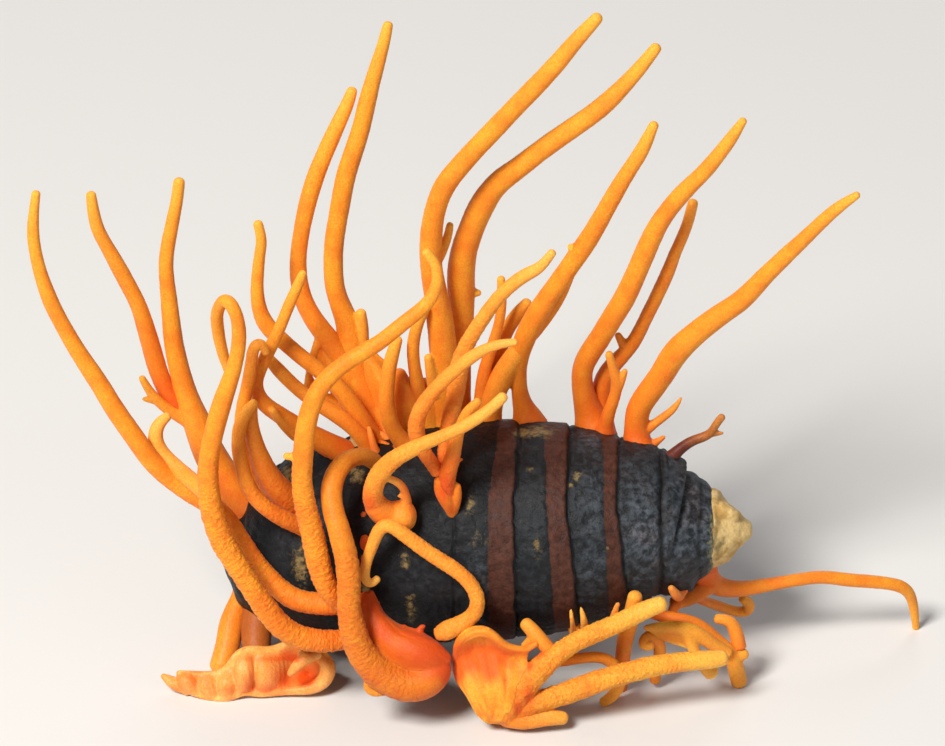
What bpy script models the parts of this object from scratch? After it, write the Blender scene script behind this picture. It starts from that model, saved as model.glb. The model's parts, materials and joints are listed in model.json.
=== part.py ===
"""Orange club fungus grown from a silk-moth pupa, lying on its side as picked.

The dark ringed husk lies nearly level, a little turned so that its tail end comes
forward.  Long orange clubs grow out of it on all sides.  Some fuse at their feet into
lobes, and the bunch stands on those lobes, on a few bent clubs and on two short stubs
behind.  +Z is up, +X runs towards the tail end, and -Y faces the viewer.

Every club is a round bar that swells and tapers along its own line.  The lines are
drawn on one front view: a knot gives the column and the row where the line passes in
that view, the club's width there, and how far it stands behind the husk's middle.
"""

import math
from typing import NamedTuple

import bmesh
import bpy
import numpy as np
from mathutils import Vector

MM = 0.001

# Driving sizes, in metres.
HUSK_LENGTH = 28.0 * MM  # blunt end to the tip of the tail crust
HUSK_LIFT = 7.5 * MM  # the husk's middle above the surface
HUSK_SHIFT = (0.1 * MM, 1.0 * MM)  # the husk's middle from the middle of the bunch
GROWTH_GAP = 0.12 * MM  # left between pieces that grow against each other
GROUND_DEPTH = 6.0 * MM  # thickness of the block that trims what rests

# The front view that the lines are drawn on.
VIEW_TILT = math.radians(30.0)  # it looks down by this much
VIEW_DISTANCE = 320.0 * MM  # from the eye to the husk's middle
VIEW_CENTRE = (472.5, 373.0)  # column and row of its centre
HUSK_CENTRE = (486.0, 530.0)  # column and row of the husk's middle
HUSK_COLUMNS = 528.0  # the husk's length, counted in columns
HUSK_MIDDLE = Vector((*HUSK_SHIFT, HUSK_LIFT))
PITCH = HUSK_LENGTH / HUSK_COLUMNS  # real width of one column at the husk

# How finely the bars are faceted: a bar up to this wide gets this bevel resolution.
BEVELS = ((1.2 * MM, 1), (2.6 * MM, 2), (math.inf, 4))
HUSK_BEVEL = 7
KNOT_STEPS = 12  # close rows between two knots
STRAIGHT_RUN = 6.0  # widths between two rings where the bar runs straight
TURN = math.radians(48.0)  # bend between two rings
SWELL = 0.9  # change of width between two rings, as a share of the mean width
TIP_REACH = 0.36  # the blunt tip stands this share of its width past the first knot
TIP_SHARE = 0.55  # its radius there, as a share of the first knot's
BAR_DEPTH = MM  # bevel depth that a ring's radius factor multiplies
NEARNESS = 1.12  # a faceted bar's corners stand this much past its radius at most
WELD = 1e-7
SMOOTH_ANGLE = math.radians(40.0)


class Finish(NamedTuple):
    """Colour and gloss of one kind of surface."""

    name: str
    colour: tuple
    roughness: float
    metallic: float = 0.0


HUSK = Finish("husk", (0.030, 0.032, 0.036), 0.55)
CRUST = Finish("crust", (0.72, 0.60, 0.27), 0.85)
CLUB = Finish("club", (0.90, 0.33, 0.035), 0.60)
PALE_CLUB = Finish("pale_club", (0.93, 0.42, 0.06), 0.60)
LOBE = Finish("lobe", (0.83, 0.17, 0.02), 0.55)


class Growth(NamedTuple):
    """One piece of fungus: its main line first, then the spurs fused to it.

    A line runs from the tip to the root, and a knot of it holds the column, the row,
    the width in columns, and the distance behind the husk's middle in millimetres.
    """

    name: str
    finish: Finish
    lines: tuple


# The husk's own line, blunt end to tail.  Its widths are full diameters.
HUSK_LINE = (
    (224, 550, 26, 1.35),
    (229, 550, 58, 1.32),
    (238, 550, 92, 1.28),
    (254, 551, 126, 1.20),
    (280, 550, 166, 1.07),
    (314, 547, 192, 0.91),
    (360, 540, 210, 0.66),
    (420, 532, 221, 0.35),
    (476, 530, 223, 0.05),
    (528, 528, 218, -0.22),
    (581, 526, 204, -0.48),
    (630, 524, 174, -0.73),
    (676, 528, 136, -0.95),
    (708, 532, 100, -1.10),
)

# Where two rings of the husk meet: column, half width in columns, how far it sinks.
HUSK_SEAMS = (
    (464, 0, 0.12 * MM),
    (509, 8, 0.20 * MM),
    (566, 8, 0.22 * MM),
    (615, 6, 0.24 * MM),
    (662, 2, 0.26 * MM),
    (701, 0, 0.24 * MM),
)
SEAM_SHOULDER = 4  # columns over which a ring rolls into its seam

# Parents come first: a piece is cut back where it would enter one listed before it.
GROWTHS = (
    Growth(
        "tail_crust",
        CRUST,
        (
            (
                (747, 533, 22, -1.36), (739, 532, 46, -1.32), (726, 531, 72, -1.25),
                (714, 531, 90, -1.18), (700, 531, 94, -1.10),
            ),
            ((738, 518, 22, -1.5), (728, 515, 30, -1.5), (712, 516, 44, -1.3)),
            ((734, 548, 22, -1.7), (724, 550, 32, -1.6), (710, 548, 44, -1.4)),
        ),
    ),
    Growth(
        "lobe_front_right",
        LOBE,
        (
            (
                (467, 646, 26, -6.8), (471, 666, 32, -7.1),
                (484, 694, 34, -7.6), (497, 716, 28, -7.9), (501, 730, 22, -8.0),
            ),
            ((492, 632, 18, -6.4), (489, 650, 32, -6.9), (492, 680, 38, -7.4)),
            (
                (508, 642, 20, -6.6), (506, 670, 36, -7.2),
                (508, 698, 38, -7.7), (506, 722, 26, -8.0),
            ),
            (
                (531, 652, 16, -6.6), (529, 666, 24, -6.9),
                (522, 688, 30, -7.4), (510, 712, 26, -7.9),
            ),
        ),
    ),
    Growth(
        "lobe_front_left",
        LOBE,
        (
            (
                (364, 596, 20, -5.2), (372, 616, 30, -5.8), (389, 638, 34, -6.3),
                (412, 652, 36, -6.7), (438, 661, 40, -7.0), (460, 664, 38, -7.1),
            ),
            ((372, 632, 24, -6.2), (388, 656, 28, -6.9), (414, 670, 28, -7.3)),
            ((420, 623, 8, -6.2), (421, 632, 10, -6.3), (423, 646, 14, -6.6)),
        ),
    ),
    Growth(
        "club_front_arch",
        CLUB,
        (
            (
                (379, 466, 17, -1.6), (371, 459, 18, -2.2), (362, 456, 18, -2.8),
                (347, 460, 20, -3.7), (336, 473, 21, -4.5), (331, 492, 22, -5.3),
                (333, 510, 22, -5.9), (339, 530, 23, -6.5), (346, 555, 24, -7.0),
                (349, 580, 24, -7.4), (349, 605, 23, -7.7), (353, 630, 25, -7.9),
                (362, 652, 27, -8.0), (378, 670, 28, -8.1), (400, 682, 31, -8.1),
                (424, 684, 33, -8.0), (446, 676, 33, -7.7),
                (464, 668, 30, -7.4),
            ),
            (
                (363, 681, 6, -8.2), (365, 689, 8, -8.2), (378, 691, 10, -8.2),
                (393, 684, 14, -8.1),
            ),
        ),
    ),
    Growth(
        "club_front_s_curve",
        CLUB,
        (
            (
                (426, 252, 10, -3.6), (435, 262, 11, -3.7), (438, 278, 12, -3.9),
                (433, 295, 13, -4.1), (423, 308, 14, -4.3), (405, 322, 15, -4.6),
                (380, 342, 16, -4.9), (355, 357, 17, -5.1), (335, 371, 18, -5.3),
                (320, 388, 19, -5.5), (310, 410, 20, -5.7), (305, 435, 21, -5.9),
                (303, 457, 21, -6.0), (302, 480, 21, -6.1), (304, 500, 22, -6.2),
                (309, 520, 23, -6.3), (315, 545, 24, -6.4), (322, 575, 23, -6.6),
                (331, 596, 22, -6.7), (346, 608, 20, -6.6), (364, 612, 20, -6.1),
            ),
            ((286, 456, 8, -6.0), (302, 458, 10, -6.0)),
        ),
    ),
    Growth(
        "club_front_left_hooked",
        CLUB,
        (
            (
                (227, 371, 8, -3.2), (221, 350, 11, -3.3), (217, 330, 12, -3.5),
                (218, 313, 12, -3.9), (226, 302, 12, -4.5), (234, 308, 13, -4.9),
                (238, 322, 14, -5.0), (238, 340, 15, -5.0), (235, 360, 15, -5.0),
                (230, 380, 17, -5.0), (223, 400, 19, -5.1), (217, 420, 20, -5.2),
                (211, 445, 20, -5.3), (208, 470, 21, -5.4), (209, 495, 22, -5.6),
                (213, 515, 24, -5.8), (222, 540, 24, -6.0), (235, 562, 24, -6.2),
                (250, 585, 23, -6.4), (267, 610, 24, -6.5), (284, 629, 24, -6.5),
                (302, 638, 24, -6.4), (322, 641, 23, -6.3), (345, 641, 22, -6.1),
                (372, 638, 20, -5.9),
            ),
        ),
    ),
    Growth(
        "club_far_left",
        CLUB,
        (
            (
                (36, 194, 10, -0.6), (34, 210, 11, -0.7), (33, 230, 12, -0.9),
                (35, 250, 13, -1.0), (41, 275, 14, -1.2), (50, 300, 16, -1.4),
                (60, 320, 16, -1.5), (77, 350, 17, -1.7), (97, 380, 19, -1.9),
                (109, 400, 20, -2.1), (122, 420, 20, -2.3), (135, 438, 20, -2.4),
                (151, 460, 20, -2.6), (172, 480, 20, -2.8), (198, 497, 20, -3.1),
                (222, 513, 19, -3.4), (240, 538, 19, -3.8), (260, 568, 20, -4.3),
                (287, 595, 22, -4.9), (310, 603, 22, -5.2), (335, 604, 22, -5.3),
                (356, 602, 22, -5.2), (372, 600, 22, -4.9),
            ),
        ),
    ),
    Growth(
        "club_rear_left_tall",
        CLUB,
        (
            (
                (179, 182, 13, 5.2), (177, 200, 13, 5.1), (171, 230, 14, 4.9),
                (167, 250, 15, 4.7), (166, 270, 15, 4.5), (169, 300, 17, 4.2),
                (172, 330, 19, 3.9), (175, 350, 20, 3.7), (182, 380, 22, 3.3),
                (188, 400, 24, 3.0), (196, 420, 28, 2.7), (208, 450, 32, 2.3),
                (224, 480, 36, 1.9), (240, 506, 38, 1.5), (252, 524, 36, 1.3),
            ),
            (
                (142, 378, 8, 2.6), (149, 390, 9, 2.6), (158, 401, 11, 2.6),
                (170, 411, 12, 2.6), (186, 420, 14, 2.6),
            ),
            ((144, 399, 5, 2.5), (156, 401, 8, 2.6)),
        ),
    ),
    Growth(
        "club_rear_left_outer",
        CLUB,
        (
            (
                (91, 195, 11, 4.2), (93, 210, 12, 4.1), (98, 230, 14, 4.0),
                (109, 250, 14, 3.9), (120, 270, 16, 3.8), (136, 300, 16, 3.7),
                (144, 322, 18, 3.6), (152, 350, 19, 3.5), (158, 370, 19, 3.4),
                (166, 390, 18, 3.2), (178, 407, 18, 3.0),
            ),
        ),
    ),
    Growth(
        "finger_left_hook",
        PALE_CLUB,
        (
            (
                (165, 418, 9, -0.9), (157, 424, 10, -1.1), (153, 434, 10, -1.2),
                (155, 446, 11, -1.3), (165, 460, 12, -1.3), (180, 471, 13, -1.2),
                (197, 482, 14, -0.8), (215, 489, 14, -0.1), (232, 495, 15, 0.9),
            ),
        ),
    ),
    Growth(
        "club_left_thick",
        LOBE,
        (
            (
                (257, 412, 10, -1.6), (255, 430, 12, -1.7), (257, 450, 15, -1.8),
                (264, 470, 20, -1.9), (276, 488, 26, -2.0), (292, 502, 30, -1.8),
                (306, 514, 30, -1.1),
            ),
        ),
    ),
    Growth(
        "club_left_loop",
        CLUB,
        (
            (
                (254, 403, 10, -2.6), (246, 412, 13, -2.8), (240, 425, 14, -3.0),
                (238, 443, 14, -3.1), (241, 462, 15, -3.3), (246, 480, 15, -3.5),
                (254, 496, 16, -3.6), (266, 508, 16, -3.7), (282, 518, 17, -3.6),
                (298, 525, 18, -3.3), (313, 531, 18, -2.8),
            ),
        ),
    ),
    Growth(
        "club_left_crook",
        LOBE,
        (
            (
                (263, 348, 9, -0.9), (257, 340, 11, -0.9), (249, 346, 12, -0.9),
                (246, 365, 12, -1.0), (242, 388, 13, -1.2), (238, 410, 13, -1.4),
                (237, 430, 12, -1.5), (243, 452, 12, -1.4), (255, 474, 14, -1.2),
                (270, 494, 14, -1.0),
            ),
        ),
    ),
    Growth(
        "club_left_bowed",
        CLUB,
        (
            (
                (303, 273, 9, 0.5), (298, 285, 11, 0.5), (290, 303, 12, 0.4),
                (283, 320, 12, 0.2), (277, 335, 13, 0.1), (269, 350, 14, 0.0),
                (261, 367, 14, -0.1), (255, 385, 15, -0.2), (262, 402, 16, -0.2),
                (280, 415, 18, -0.1), (303, 430, 19, 0.2), (325, 443, 20, 0.6),
                (342, 454, 20, 1.0),
            ),
            ((273, 410, 8, -0.7), (282, 424, 10, -0.6), (296, 436, 12, -0.2)),
        ),
    ),
    Growth(
        "club_rear_tall",
        CLUB,
        (
            (
                (388, 25, 11, 6.6), (383, 46, 13, 6.4), (371, 87, 17, 6.0),
                (360, 132, 19, 5.5), (347, 172, 20, 5.1), (340, 207, 20, 4.8),
                (335, 235, 20, 4.5), (333, 262, 20, 4.2), (335, 288, 20, 4.0),
                (341, 306, 21, 3.9), (348, 325, 24, 3.7), (352, 350, 30, 3.5),
                (358, 378, 38, 3.3), (367, 405, 46, 3.1), (374, 430, 48, 3.0),
                (377, 446, 44, 2.8),
            ),
            ((361, 313, 12, 3.5), (362, 328, 14, 3.5), (360, 350, 18, 3.4)),
        ),
    ),
    Growth(
        "club_rear_second",
        CLUB,
        (
            (
                (352, 91, 12, 6.0), (348, 103, 14, 5.9), (334, 133, 17, 5.6),
                (318, 170, 18, 5.2), (307, 205, 18, 4.8), (301, 235, 17, 4.4),
                (298, 262, 17, 4.1), (300, 288, 18, 3.9), (307, 308, 19, 3.7),
                (317, 324, 20, 3.5), (329, 340, 22, 3.3), (343, 362, 24, 3.1),
            ),
            (
                (306, 392, 7, 2.6), (309, 375, 8, 2.7), (313, 356, 8, 2.9),
                (320, 338, 10, 3.2),
            ),
        ),
    ),
    Growth(
        "club_left_slender",
        CLUB,
        (
            (
                (258, 224, 11, 2.0), (262, 240, 11, 1.9), (260, 252, 11, 1.9),
                (258, 270, 12, 1.8), (257, 290, 13, 1.7), (259, 308, 15, 1.6),
                (267, 326, 17, 1.4), (284, 342, 16, 1.3), (300, 356, 16, 1.2),
                (317, 369, 16, 1.1), (334, 383, 17, 1.0), (348, 399, 18, 0.9),
                (361, 419, 19, 0.9), (373, 438, 20, 1.1), (380, 450, 20, 1.1),
            ),
        ),
    ),
    Growth(
        "club_left_slender_low",
        CLUB,
        (
            (
                (264, 353, 10, 1.0), (273, 364, 13, 1.0), (286, 378, 14, 0.9),
                (300, 391, 14, 0.8), (316, 402, 15, 0.6), (334, 413, 16, 0.4),
                (350, 425, 16, 0.3), (362, 437, 16, 0.3), (370, 450, 16, 0.5),
            ),
        ),
    ),
    Growth(
        "base_fan_centre",
        LOBE,
        (
            (
                (399, 374, 16, 1.5), (402, 392, 30, 1.6), (406, 412, 38, 1.8),
                (410, 432, 36, 1.8),
            ),
            ((424, 386, 22, 1.9), (426, 404, 30, 2.0), (428, 428, 30, 2.0)),
            (
                (370, 348, 14, 2.9), (380, 372, 24, 2.6), (391, 396, 36, 2.3),
                (400, 420, 40, 2.0), (404, 436, 36, 1.9),
            ),
        ),
    ),
    Growth(
        "club_tall",
        CLUB,
        (
            (
                (597, 18, 14, -1.4), (575, 42, 17, -1.1), (552, 69, 19, -0.8),
                (505, 118, 20, -0.3), (461, 165, 21, 0.2), (443, 189, 22, 0.4),
                (434, 215, 22, 0.6), (431, 240, 23, 0.8), (431, 265, 22, 1.0),
                (435, 290, 24, 1.2), (440, 320, 27, 1.4), (443, 350, 28, 1.6),
                (445, 380, 29, 1.8), (446, 404, 30, 2.0), (446, 426, 30, 2.0),
            ),
            ((450, 225, 9, 1.7), (447, 240, 10, 1.6), (438, 258, 12, 1.2)),
            ((428, 357, 9, 0.9), (431, 372, 12, 1.1), (436, 392, 16, 1.5)),
        ),
    ),
    Growth(
        "club_tall_right",
        CLUB,
        (
            (
                (656, 48, 13, 0.2), (633, 76, 16, 0.3), (598, 110, 20, 0.6),
                (552, 142, 21, 0.9), (518, 168, 22, 1.2), (496, 185, 24, 1.5),
                (481, 207, 26, 1.8), (471, 230, 26, 2.0), (464, 250, 27, 2.2),
                (461, 270, 28, 2.4), (461, 290, 28, 2.6), (462, 320, 24, 2.9),
                (461, 350, 22, 3.2), (460, 380, 22, 3.3), (459, 408, 24, 3.2),
                (459, 424, 24, 3.0),
            ),
            ((479, 293, 7, 2.6), (466, 292, 14, 2.6)),
        ),
    ),
    Growth(
        "club_centre_left_front",
        CLUB,
        (
            (
                (397, 340, 12, 0.2), (391, 360, 14, 0.1), (387, 385, 15, 0.0),
                (387, 408, 16, -0.2), (392, 427, 17, -0.3), (402, 441, 17, -0.3),
                (413, 452, 16, -0.4),
            ),
        ),
    ),
    Growth(
        "club_centre_left_back",
        CLUB,
        (
            (
                (425, 309, 11, 0.6), (417, 326, 12, 0.7), (413, 345, 13, 0.8),
                (414, 365, 13, 1.0), (418, 386, 14, 1.3), (421, 400, 14, 1.6),
            ),
        ),
    ),
    Growth(
        "bulb_centre",
        CLUB,
        (
            (
                (478, 402, 11, -5.0), (467, 412, 11, -5.0), (461, 427, 12, -4.9),
                (457, 450, 13, -4.8), (452, 467, 15, -4.7), (447, 482, 24, -4.5),
                (447, 495, 30, -4.3), (451, 508, 20, -4.4), (454, 520, 9, -4.6),
            ),
        ),
    ),
    Growth(
        "club_centre_reaching",
        PALE_CLUB,
        (
            (
                (552, 253, 9, -3.6), (545, 262, 10, -3.5), (538, 269, 12, -3.4),
                (529, 273, 13, -3.3), (515, 282, 14, -3.2), (500, 296, 14, -3.1),
                (488, 311, 14, -3.0), (478, 326, 15, -3.0), (468, 342, 16, -3.0),
                (461, 360, 18, -3.0), (457, 382, 19, -3.0), (454, 402, 17, -3.1),
                (449, 420, 15, -3.3), (445, 438, 13, -3.5), (443, 455, 12, -3.9),
                (444, 472, 12, -4.3),
            ),
        ),
    ),
    Growth(
        "club_centre_bowed",
        PALE_CLUB,
        (
            (
                (515, 342, 8, -5.2), (500, 344, 10, -5.1), (485, 349, 11, -5.0),
                (470, 358, 13, -4.9), (455, 370, 14, -4.8), (440, 384, 14, -4.7),
                (428, 398, 15, -4.6), (419, 413, 16, -4.6), (416, 428, 17, -4.5),
                (419, 443, 16, -4.4), (428, 458, 15, -4.4), (438, 472, 14, -4.5),
            ),
        ),
    ),
    Growth(
        "club_front_curl",
        PALE_CLUB,
        (
            (
                (503, 397, 12, -5.9), (490, 409, 12, -6.0), (470, 423, 13, -6.1),
                (450, 433, 13, -6.2), (430, 441, 14, -6.2), (410, 450, 16, -6.1),
                (393, 460, 18, -6.0), (380, 473, 20, -5.8), (373, 489, 20, -5.6),
                (374, 504, 23, -5.3), (386, 513, 30, -4.9), (401, 514, 36, -4.5),
            ),
            (
                (386, 477, 9, -5.6), (398, 481, 9, -5.3), (407, 490, 10, -5.0),
                (409, 501, 14, -4.8), (404, 512, 20, -4.6),
            ),
        ),
    ),
    Growth(
        "club_front_hook",
        PALE_CLUB,
        (
            (
                (379, 581, 6, -6.0), (371, 585, 7, -6.1), (365, 576, 9, -6.1),
                (366, 560, 10, -6.1), (371, 545, 10, -6.0), (377, 531, 11, -6.0),
                (385, 523, 12, -6.0), (394, 527, 13, -6.0), (406, 536, 14, -6.0),
                (425, 550, 14, -6.2), (445, 563, 15, -6.4), (462, 575, 15, -6.6),
                (474, 589, 15, -6.8), (478, 603, 15, -6.9), (473, 616, 16, -6.9),
                (461, 626, 17, -6.9), (447, 632, 19, -6.8), (437, 640, 20, -6.6),
            ),
        ),
    ),
    Growth(
        "club_right_tall",
        CLUB,
        (
            (
                (654, 125, 11, 0.6), (641, 152, 15, 0.8), (621, 183, 17, 1.0),
                (600, 220, 19, 1.2), (588, 240, 20, 1.4), (567, 270, 20, 1.6),
                (546, 300, 21, 1.8), (533, 321, 22, 1.9), (523, 343, 22, 2.1),
                (519, 363, 18, 2.3), (519, 383, 16, 2.4), (522, 403, 19, 2.5),
                (529, 420, 30, 2.5), (533, 434, 30, 2.3),
            ),
            (
                (522, 346, 20, 2.1), (509, 364, 22, 2.2), (498, 384, 24, 2.3),
                (489, 404, 28, 2.4), (486, 426, 28, 2.4),
            ),
            (
                (573, 274, 6, 2.8), (562, 295, 10, 2.8), (547, 317, 12, 2.7),
                (532, 336, 12, 2.4),
            ),
            ((570, 247, 8, 1.5), (584, 252, 12, 1.5)),
        ),
    ),
    Growth(
        "club_right_short_outer",
        CLUB,
        (
            (
                (527, 303, 12, 3.5), (518, 313, 14, 3.5), (507, 330, 14, 3.4),
                (500, 350, 14, 3.3), (495, 370, 16, 3.2), (490, 392, 18, 3.1),
            ),
        ),
    ),
    Growth(
        "club_right_short_inner",
        CLUB,
        (
            (
                (501, 279, 9, 2.3), (502, 294, 10, 2.3), (500, 318, 10, 2.4),
                (495, 338, 11, 2.5), (488, 358, 12, 2.5), (483, 378, 13, 2.4),
                (481, 398, 14, 2.3),
            ),
        ),
    ),
    Growth(
        "club_right_mid",
        CLUB,
        (
            (
                (743, 121, 9, 0.2), (727, 144, 14, 0.5), (705, 171, 16, 0.8),
                (680, 196, 18, 1.1), (660, 222, 19, 1.4), (647, 248, 21, 1.6),
                (634, 278, 21, 1.8), (624, 299, 22, 1.9), (611, 320, 22, 2.0),
                (600, 338, 22, 2.1), (589, 354, 22, 2.1), (582, 371, 21, 2.2),
                (583, 390, 22, 2.3), (588, 408, 28, 2.4), (594, 424, 36, 2.3),
                (597, 438, 34, 2.0),
            ),
        ),
    ),
    Growth(
        "club_right_mid_thin",
        LOBE,
        (
            (
                (693, 203, 12, 2.9), (688, 222, 12, 2.9), (682, 238, 12, 2.9),
                (675, 253, 12, 2.9), (668, 272, 14, 2.9), (655, 300, 14, 3.0),
                (645, 320, 14, 3.0), (635, 340, 15, 3.1), (622, 356, 16, 3.1),
                (607, 372, 18, 3.0), (601, 392, 20, 2.9), (603, 412, 20, 2.8),
            ),
            ((618, 335, 8, 3.0), (627, 352, 12, 3.1)),
        ),
    ),
    Growth(
        "twig_right_forked",
        CLUB,
        (
            (
                (609, 354, 9, 0.8), (613, 368, 10, 0.9), (617, 382, 12, 1.0),
                (615, 396, 12, 1.1), (609, 412, 13, 1.2), (605, 428, 14, 1.4),
                (604, 440, 14, 1.4),
            ),
            ((625, 371, 7, 0.9), (621, 382, 9, 1.0), (615, 396, 10, 1.1)),
        ),
    ),
    Growth(
        "club_right_long",
        CLUB,
        (
            (
                (857, 195, 9, -2.2), (835, 210, 13, -1.8), (806, 237, 15, -1.4),
                (769, 272, 18, -0.8), (744, 298, 21, -0.4), (720, 315, 22, 0.0),
                (695, 334, 24, 0.3), (675, 353, 26, 0.6), (663, 373, 25, 0.9),
                (650, 391, 25, 1.1), (639, 408, 24, 1.3), (636, 428, 24, 1.3),
                (640, 446, 24, 1.0), (643, 458, 22, 0.6),
            ),
            (
                (681, 398, 4, 1.2), (675, 408, 8, 1.2), (662, 418, 9, 1.2),
                (650, 427, 10, 1.2), (638, 436, 12, 1.2),
            ),
            ((664, 437, 5, 0.9), (655, 443, 7, 1.0), (643, 448, 10, 1.0)),
        ),
    ),
    Growth(
        "club_right_red",
        LOBE,
        (
            (
                (721, 418, 9, 0.6), (717, 426, 10, 0.7), (709, 433, 11, 0.8),
                (699, 437, 11, 0.8), (689, 442, 11, 0.7), (679, 450, 12, 0.6),
                (669, 461, 14, 0.4), (662, 472, 14, 0.1),
            ),
        ),
    ),
    Growth(
        "club_front_right_lower",
        CLUB,
        (
            (
                (722, 658, 18, -6.1), (712, 659, 20, -6.2), (690, 661, 20, -6.4),
                (660, 665, 21, -6.7), (630, 672, 22, -7.0), (600, 681, 23, -7.3),
                (572, 691, 23, -7.5), (550, 698, 22, -7.7), (528, 705, 20, -7.9),
            ),
        ),
    ),
    Growth(
        "club_front_right_upper",
        CLUB,
        (
            (
                (661, 604, 17, -6.2), (645, 610, 19, -6.3), (625, 620, 20, -6.5),
                (600, 631, 20, -6.7), (577, 641, 20, -6.9), (556, 655, 21, -7.1),
                (536, 673, 22, -7.2), (520, 690, 20, -7.3),
            ),
        ),
    ),
    Growth(
        "club_front_right_short",
        CLUB,
        (
            (
                (565, 720, 12, -7.9), (552, 717, 14, -8.0), (536, 719, 14, -8.1),
                (520, 721, 14, -8.1), (505, 717, 13, -7.9),
            ),
        ),
    ),
    Growth(
        "stub_front_right",
        CLUB,
        (
            (
                (527, 621, 11, -6.5), (536, 631, 12, -6.7), (546, 641, 12, -6.9),
                (555, 651, 12, -7.0),
            ),
        ),
    ),
    Growth(
        "club_right_low_long",
        CLUB,
        (
            (
                (916, 629, 8, 2.1), (915, 617, 9, 2.0), (913, 604, 10, 1.9),
                (910, 594, 12, 1.7), (903, 587, 13, 1.5), (885, 583, 13, 1.2),
                (850, 580, 14, 0.8), (822, 577, 13, 0.5), (797, 580, 13, 0.2),
                (772, 584, 14, 0.0), (750, 588, 15, -0.3), (730, 589, 18, -0.7),
                (715, 585, 21, -1.1), (706, 576, 22, -1.4), (700, 566, 22, -1.5),
            ),
            (
                (675, 603, 15, -1.9), (686, 598, 19, -1.8), (698, 592, 20, -1.6),
                (711, 582, 20, -1.3),
            ),
            ((672, 615, 10, -2.3), (673, 606, 11, -2.1), (682, 598, 13, -1.9)),
        ),
    ),
    Growth(
        "club_right_low_loop",
        CLUB,
        (
            (
                (743, 599, 10, 0.9), (749, 602, 12, 1.1), (750, 609, 12, 1.3),
                (743, 613, 11, 1.4), (730, 610, 10, 1.2), (716, 605, 10, 0.6),
                (704, 601, 10, -0.1), (695, 597, 10, -0.8),
            ),
        ),
    ),
    Growth(
        "club_right_under",
        LOBE,
        (
            (
                (635, 597, 16, -5.5), (633, 610, 17, -5.4), (628, 628, 17, -5.2),
                (624, 645, 16, -4.9), (622, 665, 15, -4.5), (621, 680, 14, -4.1),
                (620, 694, 12, -3.8),
            ),
        ),
    ),
    Growth(
        "club_right_arch",
        CLUB,
        (
            (
                (604, 702, 11, -5.4), (613, 696, 12, -5.5), (619, 687, 12, -5.6),
                (620, 675, 12, -5.7), (614, 664, 12, -5.8), (600, 657, 11, -6.0),
                (581, 658, 11, -6.3), (564, 667, 12, -6.6), (552, 677, 13, -6.9),
            ),
        ),
    ),
    Growth(
        "club_right_bent",
        CLUB,
        (
            (
                (738, 682, 15, -3.6), (736, 670, 16, -3.7), (733, 657, 16, -3.8),
                (724, 647, 15, -3.8), (712, 636, 14, -3.8), (700, 626, 14, -3.8),
                (686, 620, 13, -3.7), (670, 618, 13, -3.5), (655, 614, 13, -3.2),
                (644, 604, 14, -2.8), (636, 592, 14, -2.4),
            ),
            ((744, 654, 13, -3.6), (733, 657, 14, -3.8)),
        ),
    ),
    Growth(
        "club_right_small_hook",
        CLUB,
        (
            (
                (718, 619, 10, -3.2), (728, 618, 11, -3.2), (735, 624, 12, -3.2),
                (738, 636, 12, -3.3), (740, 647, 12, -3.5),
            ),
        ),
    ),
    Growth(
        "club_right_pale",
        PALE_CLUB,
        (
            (
                (647, 628, 7, -4.8), (660, 629, 10, -4.8), (675, 629, 12, -4.7),
                (692, 631, 13, -4.6), (706, 638, 13, -4.5), (718, 646, 13, -4.3),
                (727, 652, 12, -4.2),
            ),
            (
                (709, 672, 18, -5.0), (702, 663, 14, -5.0), (695, 653, 10, -4.9),
                (691, 642, 10, -4.8), (686, 631, 10, -4.7),
            ),
            (
                (688, 647, 8, -4.6), (678, 641, 9, -4.5), (664, 637, 9, -4.6),
                (654, 630, 8, -4.8),
            ),
        ),
    ),
    Growth(
        "club_right_coil",
        LOBE,
        (
            (
                (651, 646, 9, -5.1), (643, 649, 11, -5.1), (642, 640, 11, -4.9),
                (650, 634, 11, -4.7), (658, 640, 12, -4.4), (660, 654, 12, -4.2),
                (657, 668, 12, -4.0), (655, 680, 11, -3.8),
            ),
        ),
    ),
    Growth(
        "lobe_left_ruffled",
        LOBE,
        (
            (
                (167, 679, 14, -3.4), (184, 683, 26, -3.8), (205, 686, 30, -4.2),
                (228, 682, 36, -4.2), (250, 673, 44, -3.8), (275, 669, 46, -3.7),
                (300, 669, 42, -3.8), (318, 670, 32, -3.9),
            ),
            ((213, 695, 18, -4.8), (232, 690, 24, -4.6), (262, 688, 24, -4.6)),
            (
                (288, 686, 12, -4.6), (308, 687, 13, -4.7), (324, 680, 13, -4.5),
                (329, 668, 13, -4.1), (320, 657, 13, -3.6), (303, 654, 13, -3.3),
                (288, 660, 13, -3.3),
            ),
            ((168, 690, 10, -4.3), (180, 688, 16, -4.1), (196, 688, 20, -4.2)),
        ),
    ),
    Growth(
        "stem_left_outer",
        LOBE,
        (
            (
                (221, 666, 22, -1.9), (226, 645, 21, -1.2), (231, 622, 20, -0.4),
                (238, 600, 22, 0.4), (247, 582, 22, 0.9),
            ),
        ),
    ),
    Growth(
        "stem_left_inner",
        LOBE,
        (
            (
                (263, 646, 20, -2.2), (260, 630, 18, -1.4), (264, 612, 20, -0.5),
                (272, 596, 20, 0.2),
            ),
        ),
    ),
    Growth(
        "stub_rear_left",
        CLUB,
        (((330, 604, 22, 5.2), (332, 582, 24, 4.5), (337, 556, 26, 3.4)),),
    ),
    Growth(
        "stub_rear_right",
        CLUB,
        (((590, 600, 20, 4.6), (588, 578, 22, 3.9), (583, 556, 24, 3.0)),),
    ),
)


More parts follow.
